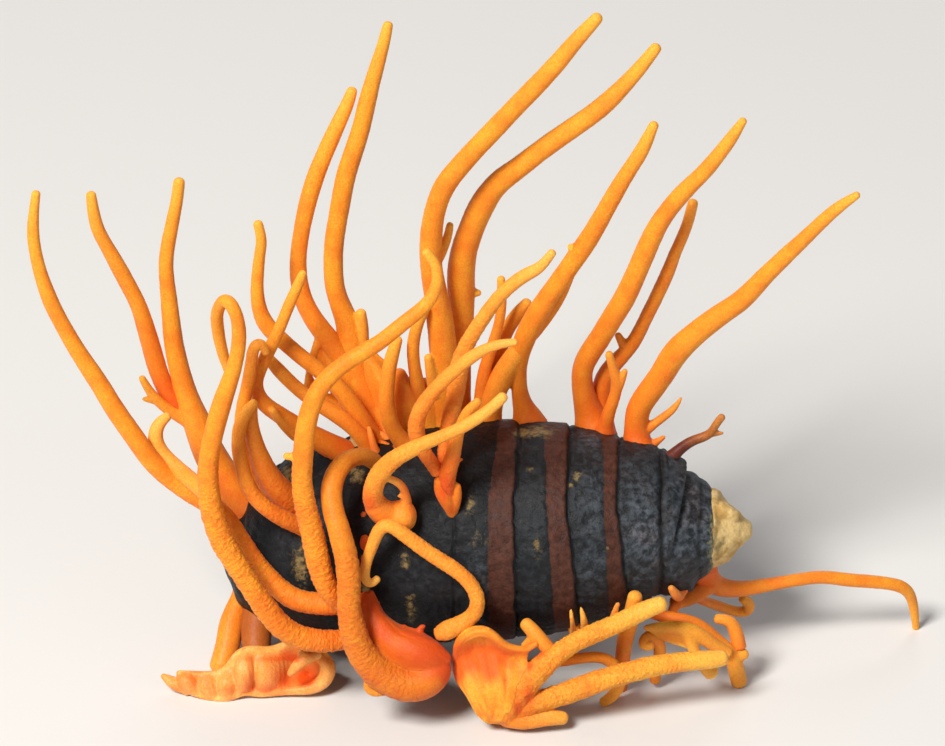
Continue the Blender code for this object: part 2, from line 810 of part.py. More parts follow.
def view_axes():
    """The view's right, up and towards-the-eye directions."""
    right = Vector((1.0, 0.0, 0.0))
    up = Vector((0.0, math.sin(VIEW_TILT), math.cos(VIEW_TILT)))
    towards = Vector((0.0, -math.cos(VIEW_TILT), math.sin(VIEW_TILT)))
    return right, up, towards


def on_view(column, row):
    """The point seen at this column and row, on the view plane through the husk."""
    right, up, _ = view_axes()
    across = (column - HUSK_CENTRE[0]) * PITCH
    above = (HUSK_CENTRE[1] - row) * PITCH
    return HUSK_MIDDLE + right * across + up * above


def placed(knot):
    """A knot as x, y, z and radius, all in metres.

    The eye's ray through the knot's column and row is followed to the knot's depth.
    The width grows with the distance from the eye as the view's perspective does.
    """
    column, row, width, depth = knot
    _, _, towards = view_axes()
    eye = on_view(*VIEW_CENTRE) + towards * VIEW_DISTANCE
    ray = on_view(column, row) - eye
    reach = (HUSK_MIDDLE.y + depth * MM - eye.y) / ray.y
    return (*(eye + ray * reach), 0.5 * width * PITCH * reach)


def smooth_line(knots):
    """Many close rows of x, y, z, radius on a Catmull-Rom curve through the knots."""
    rows = np.array([placed(knot) for knot in knots])
    rows = np.vstack([2 * rows[0] - rows[1], rows, 2 * rows[-1] - rows[-2]])
    share = np.linspace(0.0, 1.0, KNOT_STEPS, endpoint=False)[:, None]
    spans = []
    for before, start, end, after in zip(rows, rows[1:], rows[2:], rows[3:]):
        bend = (2 * before - 5 * start + 4 * end - after) * share**2
        twist = (3 * start - before - 3 * end + after) * share**3
        spans.append(0.5 * (2 * start + (end - before) * share + bend + twist))
    spans.append(rows[-2:-1])
    return np.vstack(spans)


def ring_demand(rows):
    """How many rings the line needs up to each of its rows.

    Length, bending and change of width each ask for their share of a ring.
    """
    width = 2 * rows[:, 3].mean()
    steps = np.diff(rows[:, :3], axis=0)
    lengths = np.linalg.norm(steps, axis=1)
    headings = steps / lengths[:, None]
    cosines = (headings[1:] * headings[:-1]).sum(axis=1)
    bends = np.arccos(np.clip(cosines, -1.0, 1.0))
    bends = np.concatenate([bends[:1], 0.5 * (bends[1:] + bends[:-1]), bends[-1:]])
    swells = 2 * np.abs(np.diff(rows[:, 3])) / (SWELL * width)
    demand = lengths / (STRAIGHT_RUN * width) + bends / TURN + swells
    return np.concatenate([[0.0], np.cumsum(demand)])


def blunt_tip(rows):
    """The small ring that closes a club's tip."""
    outwards = rows[0, :3] - rows[1, :3]
    outwards /= np.linalg.norm(outwards)
    radius = rows[0, 3]
    return (*(rows[0, :3] + outwards * 2 * radius * TIP_REACH), radius * TIP_SHARE)


def club_rings(knots):
    """Rings of a club, close where it bends or swells, with a blunt tip in front."""
    rows = smooth_line(knots)
    demand = ring_demand(rows)
    places = np.linspace(0.0, demand[-1], max(2, math.ceil(demand[-1])) + 1)
    rings = [np.interp(places, demand, rows[:, k]) for k in range(4)]
    return np.vstack([blunt_tip(rows), np.column_stack(rings)])


def husk_rings():
    """Rings of the husk, with a sunken seam where two of its segments meet."""
    sinks = {knot[0]: 0.0 for knot in HUSK_LINE}
    for column, half, sink in HUSK_SEAMS:
        sinks[column - half - SEAM_SHOULDER] = 0.0
        sinks[column - half] = sink
        sinks[column + half] = sink
        sinks[column + half + SEAM_SHOULDER] = 0.0
    columns = sorted(sinks)
    rows = smooth_line(HUSK_LINE)
    knot_columns = [knot[0] for knot in HUSK_LINE]
    knot_places = np.arange(len(HUSK_LINE)) * KNOT_STEPS
    places = np.interp(columns, knot_columns, knot_places)
    rings = [np.interp(places, np.arange(len(rows)), rows[:, k]) for k in range(4)]
    rings = np.column_stack(rings)
    rings[:, 3] -= [sinks[column] for column in columns]
    return rings


def widened(rings, grow):
    """The rings of the same bar with its surface moved outwards by grow."""
    rings = rings.copy()
    rings[:, 3] += grow
    for end, inner in ((0, 1), (-1, -2)):
        outwards = rings[end, :3] - rings[inner, :3]
        rings[end, :3] += outwards * grow / np.linalg.norm(outwards)
    return rings


def bevel_of(rings):
    """The bevel resolution that suits a bar of these rings' mean width."""
    width = 2 * rings[:, 3].mean()
    return next(bevel for limit, bevel in BEVELS if width <= limit)


def full_radii(rings, bevel):
    """The rings with radii that give their polygons the area of the circles."""
    sides = 2 * (bevel + 2)
    factor = math.sqrt(2 * math.pi / (sides * math.sin(2 * math.pi / sides)))
    return rings * np.array([1.0, 1.0, 1.0, factor])


def collection(name):
    """A new collection of this name, linked to the scene."""
    made = bpy.data.collections.new(name)
    bpy.context.scene.collection.children.link(made)
    return made


def material(finish):
    """A Principled material for this finish, made once."""
    found = bpy.data.materials.get(finish.name)
    if found:
        return found
    made = bpy.data.materials.new(finish.name)
    made.use_nodes = True
    shader = made.node_tree.nodes["Principled BSDF"]
    shader.inputs["Base Color"].default_value = (*finish.colour, 1.0)
    shader.inputs["Roughness"].default_value = finish.roughness
    shader.inputs["Metallic"].default_value = finish.metallic
    return made


def settled_mesh(obj):
    """The object's mesh with its modifiers applied and its loose caps welded."""
    bpy.context.view_layer.update()
    graph = bpy.context.evaluated_depsgraph_get()
    mesh = bpy.data.meshes.new_from_object(obj.evaluated_get(graph))
    shape = bmesh.new()
    shape.from_mesh(mesh)
    bmesh.ops.remove_doubles(shape, verts=shape.verts, dist=WELD)
    shape.to_mesh(mesh)
    shape.free()
    return mesh


def bar(name, rings, bevel, home):
    """A closed round bar through the rings, standing at its root."""
    root = rings[-1, :3]
    curve = bpy.data.curves.new(name, "CURVE")
    curve.dimensions = "3D"
    curve.bevel_depth = BAR_DEPTH
    curve.bevel_resolution = bevel
    curve.use_fill_caps = True
    spline = curve.splines.new("POLY")
    spline.points.add(len(rings) - 1)
    for point, ring in zip(spline.points, full_radii(rings, bevel)):
        point.co = (*(ring[:3] - root), 1.0)
        point.radius = ring[3] / BAR_DEPTH
    guide = bpy.data.objects.new(f"{name}_line", curve)
    guide.location = root
    home.objects.link(guide)
    obj = bpy.data.objects.new(name, settled_mesh(guide))
    obj.matrix_world = guide.matrix_world
    bpy.data.objects.remove(guide)
    bpy.data.curves.remove(curve)
    home.objects.link(obj)
    return obj


def combine(obj, other, operation):
    """Boolean the other object into this one."""
    modifier = obj.modifiers.new(operation.title(), "BOOLEAN")
    modifier.operation = operation
    modifier.solver = "EXACT"
    modifier.use_self = operation == "UNION"
    modifier.object = other


def settle(obj):
    """Replace the object's mesh by the result of its modifiers."""
    mesh = settled_mesh(obj)
    obj.modifiers.clear()
    obj.data = mesh


def helper(obj):
    """Mark an object as one that only shapes others."""
    obj.hide_render = True
    obj.display_type = "WIRE"
    return obj


def fused(name, growth, grow, home, helpers):
    """A growth's lines as one closed body, with its surface moved outwards by grow."""
    line_rings = [widened(club_rings(line), grow) for line in growth.lines]
    main = bar(name, line_rings[0], bevel_of(line_rings[0]), home)
    for count, rings in enumerate(line_rings[1:], start=1):
        spur = helper(bar(f"{name}_spur_{count}", rings, bevel_of(rings), helpers))
        combine(main, spur, "UNION")
    if len(growth.lines) > 1:
        settle(main)
    return main


def touches(rows, others):
    """Whether two sets of rows come nearer than their radii and the gap."""
    apart = np.linalg.norm(rows[:, None, :3] - others[None, :, :3], axis=2)
    room = rows[:, None, 3] + others[None, :, 3] + GROWTH_GAP
    return bool((apart < NEARNESS * room).any())


def islands_of(shape):
    """The mesh's faces, sorted into islands that share edges."""
    left = set(shape.faces)
    islands = []
    while left:
        island = []
        fringe = [left.pop()]
        while fringe:
            face = fringe.pop()
            island.append(face)
            near = {other for edge in face.edges for other in edge.link_faces} & left
            left -= near
            fringe.extend(near)
        islands.append(island)
    return islands


def keep_largest(obj):
    """Drop every island of the object's mesh but the one with the most surface."""
    shape = bmesh.new()
    shape.from_mesh(obj.data)
    islands = islands_of(shape)
    islands.sort(key=lambda faces: sum(face.calc_area() for face in faces))
    crumbs = [face for island in islands[:-1] for face in island]
    bmesh.ops.delete(shape, geom=crumbs, context="FACES")
    shape.to_mesh(obj.data)
    shape.free()


def finish_surface(obj, finish, bunch):
    """Give the object its material and soft shading, and hang it on the bunch."""
    obj.data.materials.clear()
    obj.data.materials.append(material(finish))
    obj.data.shade_smooth()
    obj.data.set_sharp_from_angle(angle=SMOOTH_ANGLE)
    obj.parent = bunch


def ground_block(helpers):
    """The block under the surface that everything is trimmed against."""
    bpy.ops.mesh.primitive_cube_add(size=1.0)
    block = bpy.context.active_object
    block.name = "ground"
    block.scale = (3 * HUSK_LENGTH, 3 * HUSK_LENGTH, GROUND_DEPTH)
    block.location = (0.0, 0.0, -GROUND_DEPTH / 2)
    block.users_collection[0].objects.unlink(block)
    helpers.objects.link(block)
    return helper(block)


def build_husk(bunch, home, helpers):
    """The ringed husk.  Returns its rows and the wider husk that roots are cut by."""
    rings = husk_rings()
    husk = bar("pupa_husk", rings, HUSK_BEVEL, home)
    finish_surface(husk, HUSK, bunch)
    wide = bar("wide_husk", widened(rings, GROWTH_GAP), HUSK_BEVEL, helpers)
    return smooth_line(HUSK_LINE), helper(wide)


def build_growth(growth, before, ground, bunch, home, helpers):
    """One growth, trimmed by the surface and by every earlier piece that it enters.

    Returns its rows and its wider copy, which trims the pieces after it.
    """
    piece = fused(growth.name, growth, 0.0, home, helpers)
    rows = np.vstack([smooth_line(line) for line in growth.lines])
    if (rows[:, 2] - NEARNESS * rows[:, 3]).min() < 0.0:
        combine(piece, ground, "DIFFERENCE")
    for other_rows, wide_other in before:
        if touches(rows, other_rows):
            combine(piece, wide_other, "DIFFERENCE")
    settle(piece)
    keep_largest(piece)
    finish_surface(piece, growth.finish, bunch)
    wide = fused(f"wide_{growth.name}", growth, GROWTH_GAP, helpers, helpers)
    return rows, helper(wide)


def main():
    """Clear the scene and build the bunch."""
    for obj in list(bpy.data.objects):
        bpy.data.objects.remove(obj)
    home = collection("cordyceps_bunch")
    helpers = collection("helpers")
    bunch = bpy.data.objects.new("bunch", None)
    home.objects.link(bunch)
    ground = ground_block(helpers)
    before = [build_husk(bunch, home, helpers)]
    for growth in GROWTHS:
        before.append(build_growth(growth, before, ground, bunch, home, helpers))


if __name__ == "__main__":
    main()
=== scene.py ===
"""Looks of a bunch of orange club fungus grown from a silk-moth pupa, lying on its side.

The dark ringed husk lies nearly level and its crusted tail points to the right.  Orange
clubs grow out of it on all sides: a tall fan behind, several that cross in front, and a
low tangle that carries it.  Every club is a round bar that swells and tapers along a line
drawn on one front view.  A knot of a line holds the column and the row where it passes in
that view, the club's width there in columns, and how far it stands behind the husk's
middle in millimetres.
"""

import json
import logging
import math
from dataclasses import dataclass, field
from enum import Enum

import bpy
import numpy as np
from mathutils import Matrix, Vector

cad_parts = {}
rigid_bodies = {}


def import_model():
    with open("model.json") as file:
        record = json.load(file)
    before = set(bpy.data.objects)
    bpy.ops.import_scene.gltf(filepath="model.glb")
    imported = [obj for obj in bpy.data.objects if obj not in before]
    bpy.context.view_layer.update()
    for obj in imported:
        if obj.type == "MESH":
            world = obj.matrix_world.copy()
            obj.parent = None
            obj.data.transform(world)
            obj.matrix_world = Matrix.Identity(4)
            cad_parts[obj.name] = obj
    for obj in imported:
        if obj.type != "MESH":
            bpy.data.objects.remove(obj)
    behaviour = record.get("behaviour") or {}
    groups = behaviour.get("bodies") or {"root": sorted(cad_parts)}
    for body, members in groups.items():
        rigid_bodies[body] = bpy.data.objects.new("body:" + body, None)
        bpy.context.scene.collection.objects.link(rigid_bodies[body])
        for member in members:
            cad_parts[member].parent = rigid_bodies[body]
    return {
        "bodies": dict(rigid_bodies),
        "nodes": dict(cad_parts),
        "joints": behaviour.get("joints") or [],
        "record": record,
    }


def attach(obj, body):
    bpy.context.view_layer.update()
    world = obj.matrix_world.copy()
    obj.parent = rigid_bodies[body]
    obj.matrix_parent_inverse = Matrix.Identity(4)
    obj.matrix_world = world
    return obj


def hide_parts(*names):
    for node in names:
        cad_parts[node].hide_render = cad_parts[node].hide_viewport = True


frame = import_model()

LOG = logging.getLogger("cordyceps_bunch")
MM = 0.001
IMAGE_SIZE = (945, 746)  # columns and rows of the front view

Knot = tuple[float, float, float, float]
Line = tuple[Knot, ...]
Colour = tuple[float, float, float]


# --------------------------------------------------------------------------- the view


@dataclass(frozen=True)
class FrontView:
    """The view that the lines are drawn on, and that the camera takes."""

    tilt: float = math.radians(30.0)  # it looks down by this much
    distance: float = 320.0 * MM  # from the eye to the husk's middle
    centre: tuple[float, float] = (472.5, 373.0)  # column and row of its centre
    husk_centre: tuple[float, float] = (486.0, 530.0)
    husk_middle: tuple[float, float, float] = (0.1 * MM, 1.0 * MM, 7.5 * MM)
    pitch: float = 28.0 * MM / 528.0  # real width of one column at the husk

    def axes(self) -> tuple[np.ndarray, np.ndarray, np.ndarray]:
        """The view's own directions: (1, 0, 0), (0, sin, cos) and (0, -cos, sin) of the tilt.

        Returns:
            Its right, its up and the way towards the eye.
        """
        sine, cosine = math.sin(self.tilt), math.cos(self.tilt)
        right = np.array([1.0, 0.0, 0.0])
        return right, np.array([0.0, sine, cosine]), np.array([0.0, -cosine, sine])

    def on_plane(self, columns: np.ndarray, rows: np.ndarray) -> np.ndarray:
        """Points seen at these columns and rows on the plane through the husk's middle.

        Args:
            columns: Columns of the view.
            rows: Rows of the view, counted downwards.

        Returns:
            The points, one row each, as middle + right * across + up * above.
        """
        right, up, _ = self.axes()
        across = (np.asarray(columns) - self.husk_centre[0]) * self.pitch
        above = (self.husk_centre[1] - np.asarray(rows)) * self.pitch
        return np.array(self.husk_middle) + np.outer(across, right) + np.outer(above, up)

    def eye(self) -> np.ndarray:
        """Where the view is seen from."""
        return self.on_plane([self.centre[0]], [self.centre[1]])[0] + self.axes()[2] * self.distance

    def placed(self, knots: np.ndarray) -> np.ndarray:
        """Knots as x, y, z and radius in metres.

        The eye's ray through a knot's column and row is followed to the upright plane at
        the knot's depth, and the width grows with the distance as perspective does.

        Args:
            knots: Column, row, width and depth, one knot a row.

        Returns:
            x, y, z and radius, one knot a row.
        """
        knots = np.asarray(knots, float)
        eye = self.eye()
        rays = self.on_plane(knots[:, 0], knots[:, 1]) - eye
        reach = (self.husk_middle[1] + knots[:, 3] * MM - eye[1]) / rays[:, 1]
        points = eye + rays * reach[:, None]
        return np.column_stack([points, 0.5 * knots[:, 2] * self.pitch * reach])

    def seen(self, points: np.ndarray) -> tuple[np.ndarray, np.ndarray]:
        """Columns and rows at which points are seen.

        Args:
            points: Points in metres, one a row.

        Returns:
            Their columns and their rows.
        """
        right, up, towards = self.axes()
        offset = np.asarray(points) - self.eye()
        scale = self.distance / (-(offset @ towards)) / self.pitch
        return self.centre[0] + (offset @ right) * scale, self.centre[1] - (offset @ up) * scale

    def camera(self) -> bpy.types.Object:
        """A camera at the eye that frames the view's columns.

        Returns:
            The camera.
        """
        data = bpy.data.cameras.new("front_camera")
        data.sensor_fit = "HORIZONTAL"
        data.sensor_width = IMAGE_SIZE[0] * self.pitch / MM
        data.lens = self.distance / MM
        data.clip_start = 10.0 * MM
        obj = bpy.data.objects.new("front_camera", data)
        right, up, towards = self.axes()
        turned = Matrix((right, up, towards)).transposed().to_4x4()
        obj.matrix_world = Matrix.Translation(self.eye()) @ turned
        bpy.context.scene.collection.objects.link(obj)
        return obj


VIEW = FrontView()


# --------------------------------------------------------------------- numbers on grids


@dataclass(frozen=True)
class SoftNoise:
    """Seeded noise: random values on a repeating lattice, blended smoothly between."""

    seed: int
    cells: int = 24

    def table(self) -> np.ndarray:
        """The lattice's values, from -1 to 1."""
        return np.random.default_rng(self.seed).uniform(-1.0, 1.0, (self.cells,) * 3)

    def at(self, places: np.ndarray) -> np.ndarray:
        """Noise at places, counted in lattice cells.

        Each value is the blend of the eight lattice values round it, with weights that
        ease in and out as 3t^2 - 2t^3 along each side of the cell.

        Args:
            places: Three columns of lattice coordinates.

        Returns:
            One value for each place, from -1 to 1.
        """
        table = self.table()
        corner = np.floor(places).astype(int)
        share = places - corner
        share = share * share * (3.0 - 2.0 * share)
        total = np.zeros(len(places))
        for step in np.ndindex(2, 2, 2):
            index = (corner + step) % self.cells
            weight = np.where(np.array(step) == 1, share, 1.0 - share).prod(axis=1)
            total += weight * table[index[:, 0], index[:, 1], index[:, 2]]
        return total

    def layered(self, places: np.ndarray, layers: int = 3) -> np.ndarray:
        """Noise with finer noise on top: each layer is twice as fine and half as strong.

        Args:
            places: Three columns of lattice coordinates.
            layers: How many layers are added.

        Returns:
            One value for each place, from -1 to 1.
        """
        parts = [self.at(places * 2.0**k + 7.3 * k) * 0.5**k for k in range(layers)]
        return np.sum(parts, axis=0) / (2.0 - 0.5 ** (layers - 1))


def eased(values: np.ndarray, low: float, high: float) -> np.ndarray:
    """0 below low, 1 above high, and an even S between: 3t^2 - 2t^3."""
    share = np.clip((np.asarray(values, float) - low) / (high - low), 0.0, 1.0)
    return share * share * (3.0 - 2.0 * share)


def smooth_line(rows: np.ndarray, steps: int = 16) -> np.ndarray:
    """Close rows on a Catmull-Rom curve through the given rows.

    Between two rows b and c, with a before and d after, the curve at share t is
    half of 2b + (c - a)t + (2a - 5b + 4c - d)t^2 + (3b - a - 3c + d)t^3.

    Args:
        rows: Values to pass through, one knot a row.
        steps: Close rows from one knot to the next.

    Returns:
        The close rows, ending on the last knot.
    """
    ends = np.vstack([2 * rows[0] - rows[1], rows, 2 * rows[-1] - rows[-2]])
    share = np.linspace(0.0, 1.0, steps, endpoint=False)[None, :, None]
    a, b, c, d = (ends[k : len(ends) - 3 + k, None, :] for k in range(4))
    spans = 2 * b + (c - a) * share + (2 * a - 5 * b + 4 * c - d) * share**2
    spans = 0.5 * (spans + (3 * b - a - 3 * c + d) * share**3)
    return np.vstack([spans.reshape(-1, rows.shape[1]), rows[-1:]])


def spaced(rows: np.ndarray, step: float) -> np.ndarray:
    """The same line with its rows a set distance apart, its corners eased.

    Args:
        rows: x, y, z and radius along the line.
        step: Distance between two rows, in metres.

    Returns:
        x, y, z and radius at even steps, each the bell-weighted mean of its neighbours.
    """
    lengths = np.linalg.norm(np.diff(rows[:, :3], axis=0), axis=1)
    along = np.concatenate([[0.0], np.cumsum(lengths)])
    places = np.linspace(0.0, along[-1], max(4, round(along[-1] / step)) + 1)
    even = np.column_stack([np.interp(places, along, rows[:, k]) for k in range(4)])
    spread = max(1, round(0.35 * MM / step))
    reach = np.arange(-2 * spread, 2 * spread + 1)
    bell = np.exp(-0.5 * (reach / spread) ** 2)
    pad = 2 * spread
    before = 2 * even[0] - even[1 : pad + 1][::-1]
    after = 2 * even[-1] - even[-pad - 1 : -1][::-1]
    long = np.vstack([before, even, after])[: len(even) + 2 * pad]
    if len(even) <= pad:
        return even
    blurred = [np.convolve(long[:, k], bell / bell.sum(), "valid") for k in range(4)]
    return np.column_stack(blurred)


def line_frames(points: np.ndarray) -> tuple[np.ndarray, np.ndarray, np.ndarray]:
    """Directions along a line and two across it.

    The first across direction is the eye's direction with its part along the line taken
    out, and the second stands square to both.

    Args:
        points: Points of the line.

    Returns:
        Along, across and second across directions, one row for each point.
    """
    along = np.gradient(points, axis=0)
    along /= np.linalg.norm(along, axis=1)[:, None]
    towards = VIEW.axes()[2]
    across = towards - (along @ towards)[:, None] * along
    across /= np.linalg.norm(across, axis=1)[:, None]
    return along, across, np.cross(along, across)


# ------------------------------------------------------------------- closed surfaces


@dataclass
class Shell:
    """A closed surface as arrays: its points, and its faces as rows of point numbers."""

    points: np.ndarray
    faces: list[tuple[int, ...]]

    def as_mesh(self, name: str) -> bpy.types.Mesh:
        """The surface as a Blender mesh with soft shading.

        Args:
            name: The mesh's name.

        Returns:
            The mesh.
        """
        mesh = bpy.data.meshes.new(name)
        mesh.from_pydata(self.points.tolist(), [], self.faces)
        mesh.update()
        mesh.shade_smooth()
        return mesh


def ring_faces(rings: int, sides: int) -> list[tuple[int, ...]]:
    """Faces of a tube of rings whose two ends close on a pole each.

    Point k * sides + m is side m of ring k, and the two poles come last.

    Args:
        rings: How many rings the tube has.
        sides: How many points each ring has.

    Returns:
        Quads between the rings, and fans at the poles, all facing outwards.
    """
    k, m = np.meshgrid(np.arange(rings - 1), np.arange(sides), indexing="ij")
    after = (m + 1) % sides
    quads = np.stack(
        [k * sides + m, k * sides + after, (k + 1) * sides + after, (k + 1) * sides + m], -1
    )
    side = np.arange(sides)
    following = (side + 1) % sides
    first, last = rings * sides, rings * sides + 1
    top = np.column_stack([np.full(sides, first), following, side])
    foot = (rings - 1) * sides
    bottom = np.column_stack([np.full(sides, last), foot + side, foot + following])
    faces = quads.reshape(-1, 4).tolist()
    return faces + top.tolist() + bottom.tolist()


def tube(rows: np.ndarray, radii: np.ndarray, poles: np.ndarray) -> Shell:
    """A closed tube: centre + radius * (cos a * across + sin a * second across).

    Args:
        rows: x, y, z of each ring's centre.
        radii: One radius for each ring and side.
        poles: The two points that close the ends.

    Returns:
        The tube as a shell.
    """
    rings, sides = radii.shape
    _, across, second = line_frames(rows[:, :3])
    angles = np.linspace(0.0, 2 * math.pi, sides, endpoint=False)
    spokes = (
        across[:, None, :] * np.cos(angles)[None, :, None]
        + second[:, None, :] * np.sin(angles)[None, :, None]
    )
    points = rows[:, None, :3] + spokes * radii[:, :, None]
    return Shell(np.vstack([points.reshape(-1, 3), poles]), ring_faces(rings, sides))


def rounded(rows: np.ndarray, reach: float, rings: int = 7) -> np.ndarray:
    """The line with rings added that round off its first end.

    Ring k stands at reach * radius * cos(q) past the end, with a radius of
    radius * sin(q), while q opens from near 0 to a right angle.

    Args:
        rows: x, y, z and radius along the line.
        reach: How far the rounding stands out, as a share of the radius.
        rings: How many rings are added.

    Returns:
        The longer line.
    """
    outwards = rows[0, :3] - rows[1, :3]
    outwards /= np.linalg.norm(outwards)
    turn = np.linspace(0.0, 0.5 * math.pi, rings + 2)[1:-1]
    radius = rows[0, 3]
    centres = rows[0, :3] + np.outer(reach * radius * np.cos(turn), outwards)
    return np.vstack([np.column_stack([centres, radius * np.sin(turn)]), rows])


def normals_of(mesh: bpy.types.Mesh) -> np.ndarray:
    """The directions that the mesh faces at its points.

    Args:
        mesh: The mesh.

    Returns:
        One direction a row.
    """
    values = np.empty(3 * len(mesh.vertices), np.float32)
    mesh.vertex_normals.foreach_get("vector", values)
    return values.reshape(-1, 3).astype(float)


def points_of(mesh: bpy.types.Mesh) -> np.ndarray:
    """The places of the mesh's points.

    Args:
        mesh: The mesh.

    Returns:
        One point a row, in metres.
    """
    values = np.empty(3 * len(mesh.vertices), np.float32)
    mesh.vertices.foreach_get("co", values)
    return values.reshape(-1, 3).astype(float)


def move_points(mesh: bpy.types.Mesh, points: np.ndarray) -> None:
    """Put the mesh's points at new places."""
    mesh.vertices.foreach_set("co", points.astype(np.float32).ravel())
    mesh.update()


def mark(mesh: bpy.types.Mesh, name: str, values: np.ndarray) -> None:
    """Keep one number for each of the mesh's points, for its material to read."""
    layer = mesh.attributes.new(name, "FLOAT", "POINT")
    layer.data.foreach_set("value", np.asarray(values, np.float32))


def mark_places(mesh: bpy.types.Mesh, name: str, places: np.ndarray) -> None:
    """Keep three numbers for each of the mesh's points, for its material to read."""
    layer = mesh.attributes.new(name, "FLOAT_VECTOR", "POINT")
    layer.data.foreach_set("vector", np.asarray(places, np.float32).ravel())


def grown_together(name: str, shells: list[Shell], cell: float, rounds: int) -> bpy.types.Mesh:
    """Several closed shells as one skin, with soft fillets where they meet.

    The shells are laid in one mesh, a voxel remesh wraps them, and smoothing eases the
    steps and the creases.

    Args:
        name: The new mesh's name.
        shells: The closed shells.
        cell: Size of a voxel, in metres.
        rounds: How often the points are smoothed.

    Returns:
        The single skin.
    """
    starts = np.cumsum([0] + [len(shell.points) for shell in shells])
    faces = [
        tuple(start + index for index in face)
        for start, shell in zip(starts, shells)
        for face in shell.faces
    ]
    rough = Shell(np.vstack([shell.points for shell in shells]), faces)
    obj = bpy.data.objects.new(name, rough.as_mesh(name))
    bpy.context.scene.collection.objects.link(obj)
    remesh = obj.modifiers.new("wrap", "REMESH")
    remesh.mode = "VOXEL"
    remesh.voxel_size = cell
    smooth = obj.modifiers.new("ease", "SMOOTH")
    smooth.factor = 0.5
    smooth.iterations = rounds
    bpy.context.view_layer.update()
    graph = bpy.context.evaluated_depsgraph_get()
    mesh = bpy.data.meshes.new_from_object(obj.evaluated_get(graph))
    mesh.name = name
    bpy.data.objects.remove(obj)
    mesh.shade_smooth()
    return mesh


def nearest_rows(points: np.ndarray, rows: np.ndarray, chunk: int = 4000) -> np.ndarray:
    """Which ring's surface each point is nearest to: least distance less its radius.

    Args:
        points: The points.
        rows: x, y, z and radius of each ring.
        chunk: How many points are measured at a time.

    Returns:
        The number of its ring for each point.
    """
    found = [
        np.argmin(
            np.linalg.norm(points[k : k + chunk, None, :] - rows[None, :, :3], axis=2)
            - rows[None, :, 3],
            axis=1,
        )
        for k in range(0, len(points), chunk)
    ]
    return np.concatenate(found)


# ---------------------------------------------------------------------------- finishes


class Wiring:
    """Short calls that add nodes to one node tree."""

    def __init__(self, tree: bpy.types.NodeTree) -> None:
        """Keep the tree that the nodes go into."""
        self.tree = tree

    def node(self, kind: str, inputs: dict | None = None, **settings: object) -> bpy.types.Node:
        """Add a node.

        Args:
            kind: The node's type.
            inputs: Its inputs by name or number: a socket is linked, a value is set.
            settings: Properties of the node.

        Returns:
            The node.
        """
        made = self.tree.nodes.new(kind)
        for name, value in settings.items():
            setattr(made, name, value)
        self.feed(made, inputs or {})
        return made

    def feed(self, node: bpy.types.Node, inputs: dict) -> None:
        """Fill a node's inputs.

        Args:
            node: The node.
            inputs: Its inputs by name or number: a socket is linked, a value is set.
        """
        for key, value in inputs.items():
            if isinstance(value, bpy.types.NodeSocket):
                self.tree.links.new(value, node.inputs[key])
            else:
                node.inputs[key].default_value = value

    def place(self) -> bpy.types.NodeSocket:
        """Object coordinates."""
        return self.node("ShaderNodeTexCoord").outputs["Object"]

    def kept(self, name: str) -> bpy.types.NodeSocket:
        """A number kept on the mesh's points."""
        made = self.node("ShaderNodeAttribute", attribute_type="GEOMETRY", attribute_name=name)
        return made.outputs["Fac"]

    def kept_places(self, name: str) -> bpy.types.NodeSocket:
        """Three numbers kept on the mesh's points."""
        made = self.node("ShaderNodeAttribute", attribute_type="GEOMETRY", attribute_name=name)
        return made.outputs["Vector"]

    def noise(
        self,
        size: float,
        detail: float = 3.0,
        rough: float = 0.55,
        warp: float = 0.0,
        place: bpy.types.NodeSocket | None = None,
    ) -> bpy.types.NodeSocket:
        """Soft noise from 0 to 1.

        Args:
            size: Width of its blotches in metres, or in cells of a given place.
            detail: How many finer layers it has.
            rough: How strong the finer layers are.
            warp: How far it is bent.
            place: Where it is read, else the object's own coordinates.

        Returns:
            The noise's socket.
        """
        inputs = {
            "Vector": place or self.place(),
            "Scale": 1.0 / size,
            "Detail": detail,
            "Roughness": rough,
            "Distortion": warp,
        }
        return self.node("ShaderNodeTexNoise", inputs).outputs["Fac"]

    def sums(
        self, kind: str, first: object, second: object, clamp: bool = False
    ) -> bpy.types.NodeSocket:
        """A Math node's result for two inputs."""
        inputs = {0: first, 1: second}
        return self.node("ShaderNodeMath", inputs, operation=kind, use_clamp=clamp).outputs[0]

    def spread(
        self, value: object, low: float, high: float, start: float = 0.0, end: float = 1.0
    ) -> bpy.types.NodeSocket:
        """A value's range from low to high stretched to a new range, and held there.

        Args:
            value: The value's socket.
            low: Where its range starts.
            high: Where its range ends.
            start: What it becomes at low.
            end: What it becomes at high.

        Returns:
            The new value's socket, eased in and out at both ends.
        """
        inputs = {"Value": value, 1: low, 2: high, 3: start, 4: end}
        made = self.node("ShaderNodeMapRange", inputs, interpolation_type="SMOOTHSTEP")
        return made.outputs["Result"]

    def blend(self, share: object, first: object, second: object) -> bpy.types.NodeSocket:
        """The second colour laid over the first.

        Args:
            share: How much of the second shows, from 0 to 1.
            first: The first colour or its socket.
            second: The second colour or its socket.

        Returns:
            The mixed colour's socket.
        """
        colours = [(*c, 1.0) if isinstance(c, tuple) else c for c in (first, second)]
        inputs = {0: share, 6: colours[0], 7: colours[1]}
        return self.node("ShaderNodeMix", inputs, data_type="RGBA").outputs[2]


